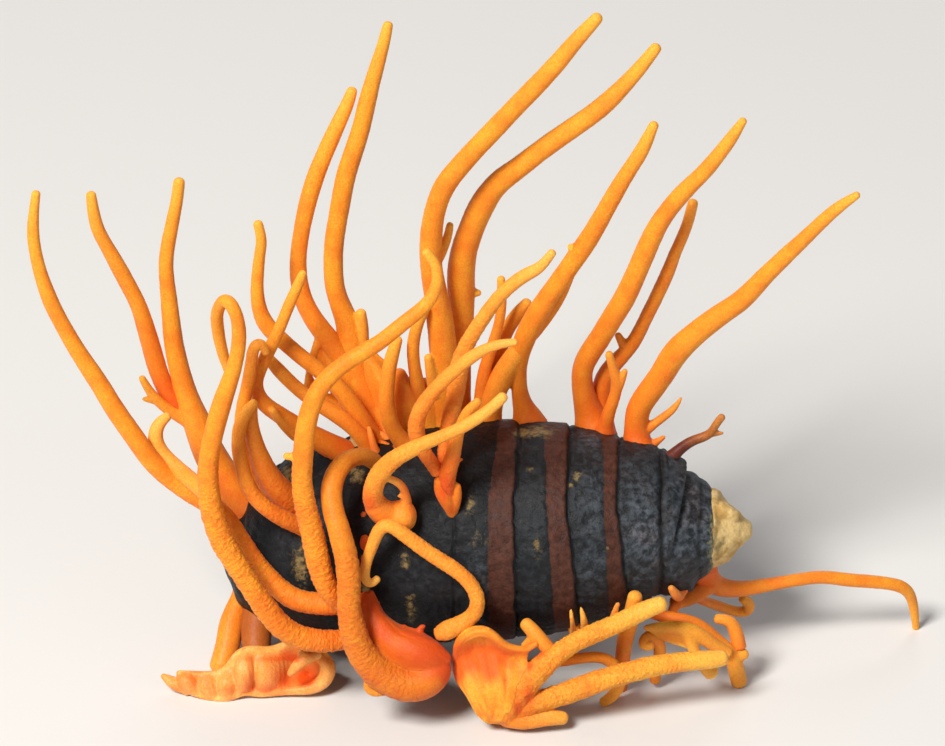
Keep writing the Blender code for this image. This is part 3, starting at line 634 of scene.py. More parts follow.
def grain_group() -> bpy.types.NodeTree:
    """A shared effect: fine skin grain as a normal and a mask of its hollows.

    Two noises, one at the grain's size and one at a third of it, are added and bumped.

    Returns:
        The node group, made once.
    """
    found = bpy.data.node_groups.get("skin_grain")
    if found:
        return found
    tree = bpy.data.node_groups.new("skin_grain", "ShaderNodeTree")
    for name, kind, value in (
        ("Grain Scale", "NodeSocketFloat", 8000.0),
        ("Depth", "NodeSocketFloat", 0.00001),
        ("Strength", "NodeSocketFloat", 0.6),
    ):
        tree.interface.new_socket(name, in_out="INPUT", socket_type=kind).default_value = value
    tree.interface.new_socket("Normal", in_out="OUTPUT", socket_type="NodeSocketVector")
    tree.interface.new_socket("Hollows", in_out="OUTPUT", socket_type="NodeSocketFloat")
    wiring = Wiring(tree)
    given = wiring.node("NodeGroupInput").outputs
    place = wiring.place()
    coarse = wiring.node(
        "ShaderNodeTexNoise", {"Vector": place, "Scale": given["Grain Scale"], "Detail": 2.0}
    )
    finer = wiring.sums("MULTIPLY", given["Grain Scale"], 3.1)
    fine = wiring.node("ShaderNodeTexNoise", {"Vector": place, "Scale": finer, "Detail": 1.0})
    weak = wiring.sums("MULTIPLY", fine.outputs["Fac"], 0.35)
    height = wiring.sums("ADD", coarse.outputs["Fac"], weak)
    bump = wiring.node(
        "ShaderNodeBump",
        {"Height": height, "Distance": given["Depth"], "Strength": given["Strength"]},
    )
    hollows = wiring.spread(height, 0.55, 0.75, 1.0, 0.0)
    wiring.node("NodeGroupOutput", {"Normal": bump.outputs[0], "Hollows": hollows})
    return tree


class Canvas(Wiring):
    """The nodes of one material: its shader, and the grain laid on it."""

    def __init__(self, tree: bpy.types.NodeTree, grain: dict) -> None:
        """Lay the grain on the tree's shader.

        Args:
            tree: The material's nodes.
            grain: The inputs of the grain.
        """
        super().__init__(tree)
        self.shader = tree.nodes["Principled BSDF"]
        laid = self.node("ShaderNodeGroup", grain, node_tree=grain_group())
        self.hollows = laid.outputs["Hollows"]
        self.finish({"Normal": laid.outputs["Normal"]})

    def finish(self, inputs: dict) -> None:
        """Fill the shader's inputs."""
        self.feed(self.shader, inputs)

    def folds(self, height: bpy.types.NodeSocket, depth: float, strength: float) -> None:
        """Lay a bump over the relief that the shader already has.

        Args:
            height: The bump's height.
            depth: Its depth in metres.
            strength: How strong it is.
        """
        inputs = {
            "Height": height,
            "Distance": depth,
            "Strength": strength,
            "Normal": self.shader.inputs["Normal"].links[0].from_socket,
        }
        self.finish({"Normal": self.node("ShaderNodeBump", inputs).outputs[0]})


@dataclass(frozen=True)
class Finish:
    """What every finish shares: a name, a grain and a gloss."""

    name: str
    grain: float  # size of the grain, in metres
    depth: float  # depth of the grain, in metres
    roughness: float

    GRAIN_STRENGTH = 0.7

    def material(self) -> bpy.types.Material:
        """The finish as a material: its grain first, then its own colours.

        Returns:
            The material, made once.
        """
        found = bpy.data.materials.get(self.name)
        if found:
            return found
        made = bpy.data.materials.new(self.name)
        made.use_nodes = True
        inputs = {
            "Grain Scale": 1.0 / self.grain,
            "Depth": self.depth,
            "Strength": self.GRAIN_STRENGTH,
        }
        canvas = Canvas(made.node_tree, inputs)
        canvas.finish({"Roughness": self.roughness})
        self.paint(canvas)
        return made

    def paint(self, canvas: Canvas) -> None:
        """Lay on colours and folds, which every kind of finish does its own way."""
        raise NotImplementedError


@dataclass(frozen=True)
class FleshFinish(Finish):
    """The clubs' skin: paler tips, redder feet, and painted shade in the wrinkles, folds and pores.
    """

    tip: Colour
    body: Colour
    shade: Colour
    root: Colour
    mottle: float = 1.3 * MM  # size of the darker mottles
    flush: float = 2.4 * MM  # size of the stronger and weaker parts of a red foot
    fold: float = 0.04 * MM  # depth of the finest wrinkles
    glow: float = 0.25  # share of light that travels under the skin
    travel: float = 0.4 * MM  # how far it travels
    spread: Colour = (1.0, 0.35, 0.08)  # and which share of that each colour does
    shine: float = 0.26
    bloom_and_sheen: float = 0.05
    bloom_softness: float = 0.5

    def paint(self, canvas: Canvas) -> None:
        """Lay mottles, tip, foot, and painted shade in the hollows of the wrinkles and pores over
        one another.

        Args:
            canvas: The material's nodes.
        """
        mottle = canvas.spread(canvas.noise(self.mottle, 4.0, 0.6), 0.35, 0.7)
        colour = canvas.blend(mottle, self.body, self.shade)
        colour = canvas.blend(canvas.kept("tip"), colour, self.tip)
        flush = canvas.spread(canvas.noise(self.flush, 3.0, 0.6), 0.3, 0.7, 0.75, 1.25)
        foot = canvas.sums("MULTIPLY", canvas.kept("root"), flush, clamp=True)
        colour = canvas.blend(foot, colour, self.root)
        cells = canvas.kept_places("cells")
        rough = canvas.kept("rough")
        ripple = canvas.noise(1.0, 2.5, 0.55, 0.6, cells)
        ridge = canvas.spread(ripple, 0.36, 0.6)
        height = canvas.sums("MULTIPLY", ridge, rough)
        # The wrinkles' troughs and the folds' grooves take the foot's deeper colour: painted shade.
        low = canvas.sums("MULTIPLY", canvas.spread(ripple, 0.3, 0.5, 1.0, 0.0), rough)
        low = canvas.sums("MULTIPLY", low, 0.5, clamp=True)
        groove = canvas.sums("MAXIMUM", canvas.kept("groove"), low)
        colour = canvas.blend(groove, colour, self.root)
        # The grain's hollows darken too: painted shade in the pores.
        pore_shade = canvas.sums("MULTIPLY", canvas.hollows, 0.3)
        colour = canvas.blend(pore_shade, colour, self.root)
        canvas.folds(height, self.fold, 0.9)
        inputs = {
            "Base Color": colour,
            "Subsurface Weight": self.glow,
            "Subsurface Radius": self.spread,
            "Subsurface Scale": self.travel,
            "Specular IOR Level": self.shine,
            "Sheen Weight": self.bloom_and_sheen,
            "Sheen Roughness": self.bloom_softness,
        }
        canvas.finish(inputs)


@dataclass(frozen=True)
class HuskFinish(Finish):
    """The husk's leathery shell, with its bands, seams, stains, and a blue-grey bloom that is
    partly dust and partly painted sheen on its raised wrinkles.
    """

    dark: Colour
    # the bloom's colours: blue-grey dust, which also paints a sheen where it lies on the raised
    # leather
    bloom_and_sheen: Colour
    flush: Colour
    band: Colour
    # a painted highlight on the bands' raised leather
    band_highlight: Colour
    stain: Colour
    creep: Colour
    # nearly black: the seams' own dark colour, and painted shade in their grooves
    seam: Colour = (0.004, 0.004, 0.005)
    leather: float = 0.38 * MM  # size of the leathery wrinkles
    fold: float = 0.13 * MM  # their depth
    cloud: float = 2.6 * MM  # size of the stronger and weaker parts of the dust and its painted sheen
    tone: float = 1.9 * MM  # size of its warmer parts
    fleck: float = 0.30 * MM  # size of the flecks that break up the stains
    shine: float = 0.2

    def paint(self, canvas: Canvas) -> None:
        """Lay the dust with its painted sheen, bands, stains, the crust's creep and the seams over
        one another.

        Args:
            canvas: The material's nodes.
        """
        leather = canvas.noise(self.leather, 5.0, 0.66, 0.25)
        cloud = canvas.spread(canvas.noise(self.cloud, 3.0, 0.6), 0.25, 0.75, 0.4, 1.2)
        tone = canvas.spread(canvas.noise(self.tone, 3.0, 0.6), 0.46, 0.70)
        # The dust is laid on the raised leather, so it also paints a sheen there.
        raised = canvas.spread(leather, 0.36, 0.72, 0.10, 1.0)
        dust_and_sheen = canvas.sums("MULTIPLY", canvas.kept("bloom_and_sheen"), raised)
        dust_and_sheen = canvas.sums("MULTIPLY", dust_and_sheen, cloud, clamp=True)
        colour = canvas.blend(dust_and_sheen, self.dark, canvas.blend(tone, self.bloom_and_sheen, self.flush))
        torn = canvas.spread(leather, 0.3, 0.7, -0.12, 0.12)
        ragged = canvas.sums("ADD", canvas.kept("band"), torn)
        # The bands' raised leather is lighter: a painted highlight.
        brown = canvas.blend(canvas.spread(leather, 0.2, 0.95), self.band, self.band_highlight)
        colour = canvas.blend(canvas.spread(ragged, 0.38, 0.62), colour, brown)
        flecks = canvas.noise(self.fleck, 4.0, 0.7, 0.4)
        broken = canvas.spread(flecks, 0.3, 0.7, -0.5, 0.2)
        stained = canvas.sums("ADD", canvas.kept("stain"), broken)
        colour = canvas.blend(canvas.spread(stained, 0.1, 0.95), colour, self.stain)
        crumbs = canvas.spread(flecks, 0.3, 0.7, -0.35, 0.2)
        crept = canvas.sums("ADD", canvas.kept("creep"), crumbs)
        colour = canvas.blend(canvas.spread(crept, 0.25, 0.95), colour, self.creep)
        # The seams and grooves go nearly black: partly their own dark colour, partly painted shade
        # in the grooves.
        colour = canvas.blend(canvas.kept("seam"), colour, self.seam)
        gloss = canvas.spread(leather, 0.35, 0.7, 0.42, 0.66)
        canvas.folds(leather, self.fold, 0.8)
        inputs = {"Base Color": colour, "Roughness": gloss, "Specular IOR Level": self.shine}
        canvas.finish(inputs)


@dataclass(frozen=True)
class CrustFinish(Finish):
    """Pale, crumbly growth with ochre parts, grey-olive edges, and painted shade in its hollows and
    on its lower side.
    """

    pale: Colour
    ochre: Colour
    olive: Colour
    cloud: float = 0.9 * MM  # size of the ochre parts
    fray: float = 0.5 * MM  # size of the steps in its edge
    glow: float = 0.15  # share of light that travels under the skin
    travel: float = 0.3 * MM  # how far it travels
    spread: Colour = (1.0, 0.8, 0.5)  # and which share of that each colour does

    def paint(self, canvas: Canvas) -> None:
        """Lay ochre parts, the grey-olive edge with the painted shade below, and the painted shade
        in the hollows over one another.

        Args:
            canvas: The material's nodes.
        """
        cloud = canvas.spread(canvas.noise(self.cloud, 4.0, 0.6, 0.4), 0.42, 0.66)
        colour = canvas.blend(cloud, self.pale, self.ochre)
        frayed = canvas.spread(canvas.noise(self.fray), 0.3, 0.7, -0.3, 0.3)
        # The edge mask also carries the painted shade below.
        edge_and_shade = canvas.sums("ADD", canvas.kept("edge_and_shade"), frayed)
        colour = canvas.blend(canvas.spread(edge_and_shade, 0.35, 0.85), colour, self.olive)
        # The grain's hollows go ochre: painted shade.
        hollow_shade = canvas.sums("MULTIPLY", canvas.hollows, 0.35)
        colour = canvas.blend(hollow_shade, colour, self.ochre)
        inputs = {
            "Base Color": colour,
            "Subsurface Weight": self.glow,
            "Subsurface Radius": self.spread,
            "Subsurface Scale": self.travel,
        }
        canvas.finish(inputs)


class Slot(Enum):
    """The record's material slots."""

    HUSK = "husk"
    CRUST = "crust"
    CLUB = "club"
    PALE_CLUB = "pale_club"
    LOBE = "lobe"


CLUB_FLESH = FleshFinish(
    "club_flesh", 0.10 * MM, 0.034 * MM, 0.55,
    tip=(0.89, 0.44, 0.045), body=(0.87, 0.345, 0.018), shade=(0.81, 0.235, 0.011),
    root=(0.70, 0.090, 0.005),
)
PALE_FLESH = FleshFinish(
    "pale_flesh", 0.10 * MM, 0.034 * MM, 0.58,
    tip=(0.91, 0.48, 0.08), body=(0.89, 0.385, 0.036), shade=(0.84, 0.275, 0.020),
    root=(0.76, 0.13, 0.009),
)
LOBE_FLESH = FleshFinish(
    "lobe_flesh", 0.13 * MM, 0.024 * MM, 0.48,
    tip=(0.90, 0.40, 0.04), body=(0.87, 0.315, 0.018), shade=(0.81, 0.22, 0.011),
    root=(0.68, 0.085, 0.005),
)
PALE_LOBE = FleshFinish(
    "pale_lobe_flesh", 0.12 * MM, 0.030 * MM, 0.42,
    tip=(0.91, 0.56, 0.17), body=(0.91, 0.52, 0.14), shade=(0.87, 0.39, 0.075),
    root=(0.76, 0.105, 0.010),
)
DARK_FLESH = FleshFinish(
    "dark_flesh", 0.12 * MM, 0.026 * MM, 0.5,
    tip=(0.90, 0.36, 0.06), body=(0.68, 0.20, 0.030), shade=(0.52, 0.13, 0.022),
    root=(0.11, 0.018, 0.008),
)
# A lighter, yellower copy of the club flesh: painted light on the front clubs at the right and the
# pale club behind them.
PAINTED_LIGHT_FLESH = FleshFinish(
    "painted_light_flesh", 0.10 * MM, 0.034 * MM, 0.55,
    tip=(0.90, 0.53, 0.080), body=(0.89, 0.46, 0.040), shade=(0.83, 0.29, 0.018),
    root=(0.74, 0.115, 0.007),
)
# A darker copy of the club flesh: painted shade on the front left mass.
PAINTED_SHADE_FLESH = FleshFinish(
    "painted_shade_flesh", 0.10 * MM, 0.034 * MM, 0.52,
    tip=(0.88, 0.42, 0.04), body=(0.77, 0.275, 0.014), shade=(0.68, 0.185, 0.009),
    root=(0.60, 0.070, 0.005),
)
# A dark brown-orange flesh for the inner stem: partly its own darker colour, partly painted shade
# between the stems.
PAINTED_SHADE_STEM_FLESH = FleshFinish(
    "painted_shade_stem_flesh", 0.12 * MM, 0.026 * MM, 0.5,
    tip=(0.50, 0.145, 0.018), body=(0.50, 0.140, 0.015), shade=(0.40, 0.095, 0.010),
    root=(0.30, 0.045, 0.006),
)
HUSK_SHELL = HuskFinish(
    "husk_shell", 0.10 * MM, 0.016 * MM, 0.5,
    dark=(0.005, 0.006, 0.0075), bloom_and_sheen=(0.100, 0.118, 0.142), flush=(0.122, 0.104, 0.112),
    band=(0.030, 0.009, 0.006), band_highlight=(0.112, 0.038, 0.023), stain=(0.24, 0.165, 0.060),
    creep=(0.26, 0.24, 0.13),
)
TAIL_CRUST = CrustFinish(
    "tail_crust_skin", 0.14 * MM, 0.06 * MM, 0.85,
    pale=(0.63, 0.45, 0.19), ochre=(0.44, 0.26, 0.07), olive=(0.185, 0.15, 0.06),
)
FINISHES = {
    Slot.HUSK: HUSK_SHELL,
    Slot.CRUST: TAIL_CRUST,
    Slot.CLUB: CLUB_FLESH,
    Slot.PALE_CLUB: PALE_FLESH,
    Slot.LOBE: LOBE_FLESH,
}


def hand_over(mesh: bpy.types.Mesh, name: str, slot: Slot, *nodes: str) -> bpy.types.Object:
    """Make a piece of a mesh, attach it to the root body and hide the frame's nodes it stands for.

    Args:
        mesh: The piece's mesh, in place.
        name: The piece's name.
        slot: The record's material slot; not used.
        nodes: The frame's nodes that it stands for.

    Returns:
        The piece.
    """
    obj = bpy.data.objects.new(name, mesh)
    bpy.context.scene.collection.objects.link(obj)
    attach(obj, "root")
    if nodes:
        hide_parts(*nodes)
    return obj


# ----------------------------------------------------------------------------- growths


@dataclass(frozen=True)
class Relief:
    """How rough a growth's skin is.  Depths and sizes are in metres."""

    swell: float  # height of the slow swellings
    wrinkle: float = 0.0  # depth of the wrinkles that run round it
    start: float = 0.0  # distance from the tip at which they set in
    along: float = 0.19 * MM  # their spacing along it
    around: float = 0.75 * MM  # their length round it


class Skin(Enum):
    """The kinds of skin that the growths show."""

    VELVET = Relief(0.022 * MM, 0.008 * MM, 0.0, 0.12 * MM, 0.16 * MM)
    PITTED = Relief(0.024 * MM, 0.024 * MM, 2.0 * MM, 0.13 * MM, 0.19 * MM)
    ROUGH = Relief(0.036 * MM, 0.046 * MM, 0.0, 0.16 * MM, 0.22 * MM)
    WRINKLED = Relief(0.028 * MM, 0.038 * MM, 6.0 * MM, 0.17 * MM, 0.36 * MM)
    WRINKLED_LOW = Relief(0.028 * MM, 0.042 * MM, 13.0 * MM, 0.17 * MM, 0.34 * MM)
    WRINKLED_FAINT = Relief(0.026 * MM, 0.026 * MM, 16.0 * MM, 0.17 * MM, 0.32 * MM)


@dataclass(frozen=True)
class HuskAxis:
    """The husk's own line, blunt end to tail, with full diameters."""

    knots: Line = (
        (224, 550, 26, 1.35), (229, 550, 58, 1.32), (238, 550, 92, 1.28),
        (254, 551, 126, 1.20), (280, 550, 166, 1.07), (314, 547, 192, 0.91),
        (360, 540, 210, 0.66), (420, 532, 221, 0.35), (476, 530, 223, 0.05),
        (528, 528, 218, -0.22), (581, 526, 204, -0.48), (630, 524, 174, -0.73),
        (660, 527, 149, -0.88), (676, 530, 130, -0.95), (692, 529, 114, -1.03),
        (708, 529, 90, -1.10),
    )

    STEPS = 16  # rows from one knot to the next

    def at(self, columns: np.ndarray) -> np.ndarray:
        """The axis at some columns.

        Args:
            columns: The columns, as the knots give them.

        Returns:
            x, y, z and radius, one row for each column.
        """
        rows = smooth_line(VIEW.placed(self.knots), self.STEPS)
        knot_columns = [knot[0] for knot in self.knots]
        places = np.interp(columns, knot_columns, np.arange(len(self.knots)) * self.STEPS)
        number = np.arange(len(rows))
        return np.column_stack([np.interp(places, number, rows[:, k]) for k in range(4)])

    def depth_of(self, points: np.ndarray) -> np.ndarray:
        """How far points stand outside the husk's round surface.

        It is the distance from the axis in the plane across it, less the radius there.

        Args:
            points: Points in metres, one a row.

        Returns:
            Their distances in metres, less than 0 inside the husk.
        """
        axis = self.at(np.linspace(self.knots[0][0], self.knots[-1][0], 200))
        middle = [np.interp(points[:, 0], axis[:, 0], axis[:, k]) for k in (1, 2, 3)]
        return np.hypot(points[:, 1] - middle[0], points[:, 2] - middle[1]) - middle[2]


HUSK_AXIS = HuskAxis()


@dataclass(frozen=True)
class Patch:
    """A patch of colour where the front view shows it: column, row and size."""

    column: float
    row: float
    width: float
    height: float
    strength: float = 1.0

    def over(self, columns: np.ndarray, rows: np.ndarray) -> np.ndarray:
        """Bell-shaped cover: strength * exp(-(dx/width)^2 - (dy/height)^2).

        Args:
            columns: Columns of the view.
            rows: Rows of the view.

        Returns:
            The cover at each of them.
        """
        across = (columns - self.column) / self.width
        down = (rows - self.row) / self.height
        return self.strength * np.exp(-(across**2) - down**2)


@dataclass(frozen=True)
class Sheet:
    """A fleshy flap: lines side by side, joined into one curved wall.

    Each line runs from the flap's free edge to its base, and the widths of its knots are
    the wall's thickness there.
    """

    lines: tuple[Line, ...]
    folds: float = 0.0  # depth of the folds that run down it, in metres
    count: float = 5.0  # folds from its first line to its last
    red: float = 0.5  # how red it is
    ribs: int = 48
    rows: int = 44

    def grid(self) -> np.ndarray:
        """x, y, z and half thickness on a grid of ribs and rows.

        Every line is cut into even steps, and a smooth curve is drawn across the lines at
        each step.  The folds push the wall by folds * sin(2 pi count u) * sin(pi v).

        Returns:
            The grid, ribs by rows by 4.
        """
        cut = []
        for line in self.lines:
            close = smooth_line(VIEW.placed(line))
            steps = np.linalg.norm(np.diff(close[:, :3], axis=0), axis=1)
            along = np.concatenate([[0.0], np.cumsum(steps)])
            places = np.linspace(0.0, along[-1], self.rows)
            even = [np.interp(places, along, close[:, k]) for k in range(4)]
            cut.append(np.column_stack(even))
        wide = smooth_line(np.array(cut).reshape(len(cut), -1))
        places = np.linspace(0, len(wide) - 1, self.ribs)
        ribs = [np.interp(places, np.arange(len(wide)), column) for column in wide.T]
        grid = np.array(ribs).T.reshape(self.ribs, self.rows, 4)
        u, v = np.meshgrid(
            np.linspace(0, 1, self.ribs), np.linspace(0, 1, self.rows), indexing="ij"
        )
        push = self.folds * np.sin(2 * math.pi * self.count * u) * np.sin(math.pi * v)
        grid[..., :3] += self.normals(grid) * push[..., None]
        return grid

    @staticmethod
    def normals(grid: np.ndarray) -> np.ndarray:
        """The grid's directions square to its wall: the cross product of its two slopes."""
        found = np.cross(np.gradient(grid[..., :3], axis=0), np.gradient(grid[..., :3], axis=1))
        return found / np.maximum(np.linalg.norm(found, axis=2), 1e-12)[..., None]

    def shell(self) -> Shell:
        """The flap as a closed shell: grid + normal * half thickness is its front,
        grid - normal * half thickness its back, and a wall joins their edges.

        Returns:
            The shell.
        """
        grid = self.grid()
        away = self.normals(grid) * grid[..., 3:]
        sides = [(grid[..., :3] + away).reshape(-1, 3), (grid[..., :3] - away).reshape(-1, 3)]
        number = np.arange(self.ribs * self.rows).reshape(self.ribs, self.rows)
        front = np.stack([number[:-1, :-1], number[1:, :-1], number[1:, 1:], number[:-1, 1:]], -1)
        front = front.reshape(-1, 4)
        rim = np.concatenate([number[:, 0], number[-1, 1:], number[-2::-1, -1], number[0, -2:0:-1]])
        after = np.roll(rim, -1)
        wall = np.column_stack([after, rim, rim + number.size, after + number.size])
        faces = np.vstack([front, front[:, ::-1] + number.size, wall])
        return Shell(np.vstack(sides), faces.tolist())


@dataclass(frozen=True)
class Survey:
    """Where the points of a skin lie on their growth, one value or row a point."""

    gone: np.ndarray  # distance from the tip
    left: np.ndarray  # distance to the root
    radius: np.ndarray  # radius of the bar
    turned: np.ndarray  # way round the bar, as lengths in two directions across it
    calm: np.ndarray  # whether the skin folds instead of wrinkling
    red: np.ndarray  # how red the line is


@dataclass(frozen=True)
class Growth:
    """One piece of fungus: its main line first, then the spurs fused to it."""

    name: str
    slot: Slot
    skin: Skin
    lines: tuple[Line, ...]
    nodes: tuple[str, ...] | None = None  # the frame's nodes it stands for, else its own name
    sheets: tuple[Sheet, ...] = ()
    calm: tuple[int, ...] = ()  # lines whose skin folds instead of wrinkling
    calm_red: float = 0.62  # how red those lines are
    patches: tuple[Patch, ...] = ()  # where it is redder still, partly its own colour and partly painted shade
    blush: float = 1.0  # how red its foot is
    fade: float = 0.0  # distance from the root at which wrinkles begin to fade, in metres
    crease: float = 0.3  # how strongly its calm parts are folded, and how dark the painted shade in those folds is
    ease: int = 6  # how often the skin is smoothed where lines are grown together
    sink: bool = True  # whether its root is led into the husk
    flare: float = 0.26 * MM  # how much its root widens where it meets the husk
    finish: FleshFinish | None = None  # its finish, where the slot's own doesn't suit
    cell: float = 0.07 * MM  # how finely lines are grown together

    TIP_REACH = 0.8  # the rounded tip stands this share of its radius past the knot
    FOOT_REACH = 0.5  # and the rounded foot this share of its own
    POLE = 0.4  # a bar's poles stand this share of a step past its ends
    TIP_TAPER = 0.08  # share of the width that a tip loses
    TAPER_LENGTH = 2.2  # the radii over which it loses it
    STEPS = (0.05 * MM, 0.1 * MM)  # distance between the rings of rough and of plain skin
    SIDES = (44, 28)  # points of a ring of rough and of plain skin
    FLOOR = 0.0  # height of the surface that it rests on
    SINK_FROM = 1.7 * MM  # roots that end this close to the husk are led into it
    SINK_PAST = 0.35 * MM  # and end this far inside it
    SET_IN = 5.0 * MM  # wrinkles set in over this distance
    SWELL_SIZE = 1.3 * MM  # width of the slow swellings
    FOLD_DEPTH = 0.049 * MM  # depth of the folds of a calm part
    FOLD_SIZE = (0.5 * MM, 2.6 * MM)  # their width and their length
    CALM_GRAIN = 0.25 * MM  # size of the fine relief of a calm part
    CALM_ROUGH = 0.2  # how rough a calm part is
    FLARE_ABOVE = 0.4 * MM  # the root widens this close to the husk
    FLARE_ALONG = 2.2 * MM  # and this close to its end
    TIP_FADE = 2.2 * MM  # distance over which the tip's own colour fades
    ROOT_FADE = 4.5 * MM  # distance over which the foot's own colour fades
    DEEPEST = 0.055 * MM  # wrinkles as deep as this have the full fine relief

    def rough(self) -> bool:
        """Whether the skin's relief needs close rings."""
        return self.skin.value.wrinkle > 0.015 * MM

    def bars(self) -> list[np.ndarray]:
        """Even rows for each line, tips tapered and both ends rounded off.

        The radius is multiplied by 1 - taper * exp(-distance from the tip / length).

        Returns:
            x, y, z and radius along each line.
        """
        step = self.STEPS[0 if self.rough() else 1]
        found = []
        for count, line in enumerate(self.lines):
            rows = smooth_line(VIEW.placed(line))
            if count == 0 and self.sink:
                rows = self.sunk(rows)
            rows = spaced(rows, step)
            gone = np.arange(len(rows)) * step
            rows[:, 3] *= 1.0 - self.TIP_TAPER * np.exp(-gone / (self.TAPER_LENGTH * rows[0, 3]))
            foot = rounded(rows[::-1], self.FOOT_REACH)[::-1]
            found.append(rounded(foot, self.TIP_REACH))
        return found

    def sunk(self, rows: np.ndarray) -> np.ndarray:
        """The line, led on into the husk where it ends on it or close to it.

        It goes on the way it came and turns step by step towards the husk's axis.

        Args:
            rows: x, y, z and radius along the line.

        Returns:
            The line, with rows added where it is led on.
        """
        end = rows[-1]
        outside = float(HUSK_AXIS.depth_of(end[None, :3])[0])
        if outside < -1.0 * end[3] or outside > self.SINK_FROM:
            return rows
        axis = HUSK_AXIS.at(np.linspace(240.0, 700.0, 200))
        inwards = axis[np.abs(axis[:, 0] - end[0]).argmin(), :3] - end[:3]
        inwards /= np.linalg.norm(inwards)
        onwards = end[:3] - rows[-4, :3]
        onwards /= np.linalg.norm(onwards)
        share = np.linspace(0.0, 1.0, 9)[1:, None]
        length = outside + end[3] + self.SINK_PAST
        steps = (onwards * (1.0 - share) + inwards * share) * length / 6.0
        added = end[:3] + np.cumsum(steps, axis=0)
        return np.vstack([rows, np.column_stack([added, np.full(len(added), end[3])])])

    def marks(self, bars: list[np.ndarray]) -> np.ndarray:
        """Distance from the tip, and distance to the root, of every row of the bars.

        A spur's way to the root goes on along the main line from where it joins.

        Args:
            bars: x, y, z and radius along each bar, the main line first.

        Returns:
            Both distances for each row.
        """
        found = []
        for count, rows in enumerate(bars):
            steps = np.linalg.norm(np.diff(rows[:, :3], axis=0), axis=1)
            gone = np.concatenate([[0.0], np.cumsum(steps)])
            left = gone[-1] - gone
            if count:
                join = np.linalg.norm(bars[0][:, :3] - rows[-1, :3], axis=1).argmin()
                left = left + found[0][join, 1]
            found.append(np.column_stack([gone, left]))
        return np.vstack(found)

    def skin_mesh(self, bars: list[np.ndarray]) -> bpy.types.Mesh:
        """The smooth skin: a tube round one line, or all bars and sheets grown together.

        Args:
            bars: x, y, z and radius along each bar.

        Returns:
            The skin's mesh.
        """
        sides = self.SIDES[0 if self.rough() else 1]
        shells = []
        for rows in bars:
            radii = np.repeat(rows[:, 3:4], sides, axis=1)
            tip = rows[0, :3] + (rows[0, :3] - rows[1, :3]) * self.POLE
            foot = rows[-1, :3] + (rows[-1, :3] - rows[-2, :3]) * self.POLE
            shells.append(tube(rows, radii, np.vstack([tip, foot])))
        if len(shells) == 1 and not self.sheets:
            return shells[0].as_mesh(self.name)
        shells += [sheet.shell() for sheet in self.sheets]
        return grown_together(self.name, shells, self.cell, self.ease)

    def survey(self, points: np.ndarray, bars: list[np.ndarray]) -> Survey:
        """Find where points of the skin lie on the growth.

        A point belongs to the ring whose surface is nearest.  Its way round the bar is
        its direction from the ring's middle, times the radius.

        Args:
            points: The skin's points.
            bars: x, y, z and radius along each bar.

        Returns:
            Where each of them lies.
        """
        ribs = [rib for sheet in self.sheets for rib in sheet.grid()[::2]]
        lines = bars + ribs
        rows = np.vstack(lines)
        reds = [self.calm_red if k in self.calm else 0.0 for k in range(len(bars))]
        reds += [sheet.red for sheet in self.sheets for _ in range(0, sheet.ribs, 2)]
        calms = [k in self.calm for k in range(len(bars))] + [True] * len(ribs)
        if len(lines) == 1:
            sides = (len(points) - 2) // len(rows)
            nearest = np.append(np.repeat(np.arange(len(rows)), sides), [0, len(rows) - 1])
        else:
            nearest = nearest_rows(points, rows)
        gone, left = self.marks(lines)[nearest].T
        owner = np.repeat(np.arange(len(lines)), [len(line) for line in lines])[nearest]
        spokes = points - rows[nearest, :3]
        spokes /= np.maximum(np.linalg.norm(spokes, axis=1), 1e-9)[:, None]
        radius = rows[nearest, 3]
        frames = [line_frames(line[:, :3]) for line in lines]
        sideways, upwards = (np.vstack([frame[k] for frame in frames])[nearest] for k in (1, 2))
        turned = np.stack([(spokes * sideways).sum(1), (spokes * upwards).sum(1)]) * radius
        return Survey(gone, left, radius, turned, np.array(calms)[owner], np.array(reds)[owner])

    def wrinkled(self, at: Survey) -> np.ndarray:
        """How strong the wrinkles are, from 0 to 1.

        They set in along the bar, and are weak on thin bars, on calm parts and, where
        the growth says so, near its root.

        Args:
            at: Where the points lie.

        Returns:
            The strength at each point.
        """
        start = self.skin.value.start
        share = eased(at.gone, start, start + self.SET_IN) * 0.85 + 0.15
        share = share * eased(at.radius, 0.1 * MM, 0.3 * MM)
        share = share * np.where(at.calm, self.CALM_ROUGH, 1.0)
        return share * (eased(at.left, 0.25 * self.fade, self.fade) if self.fade else 1.0)

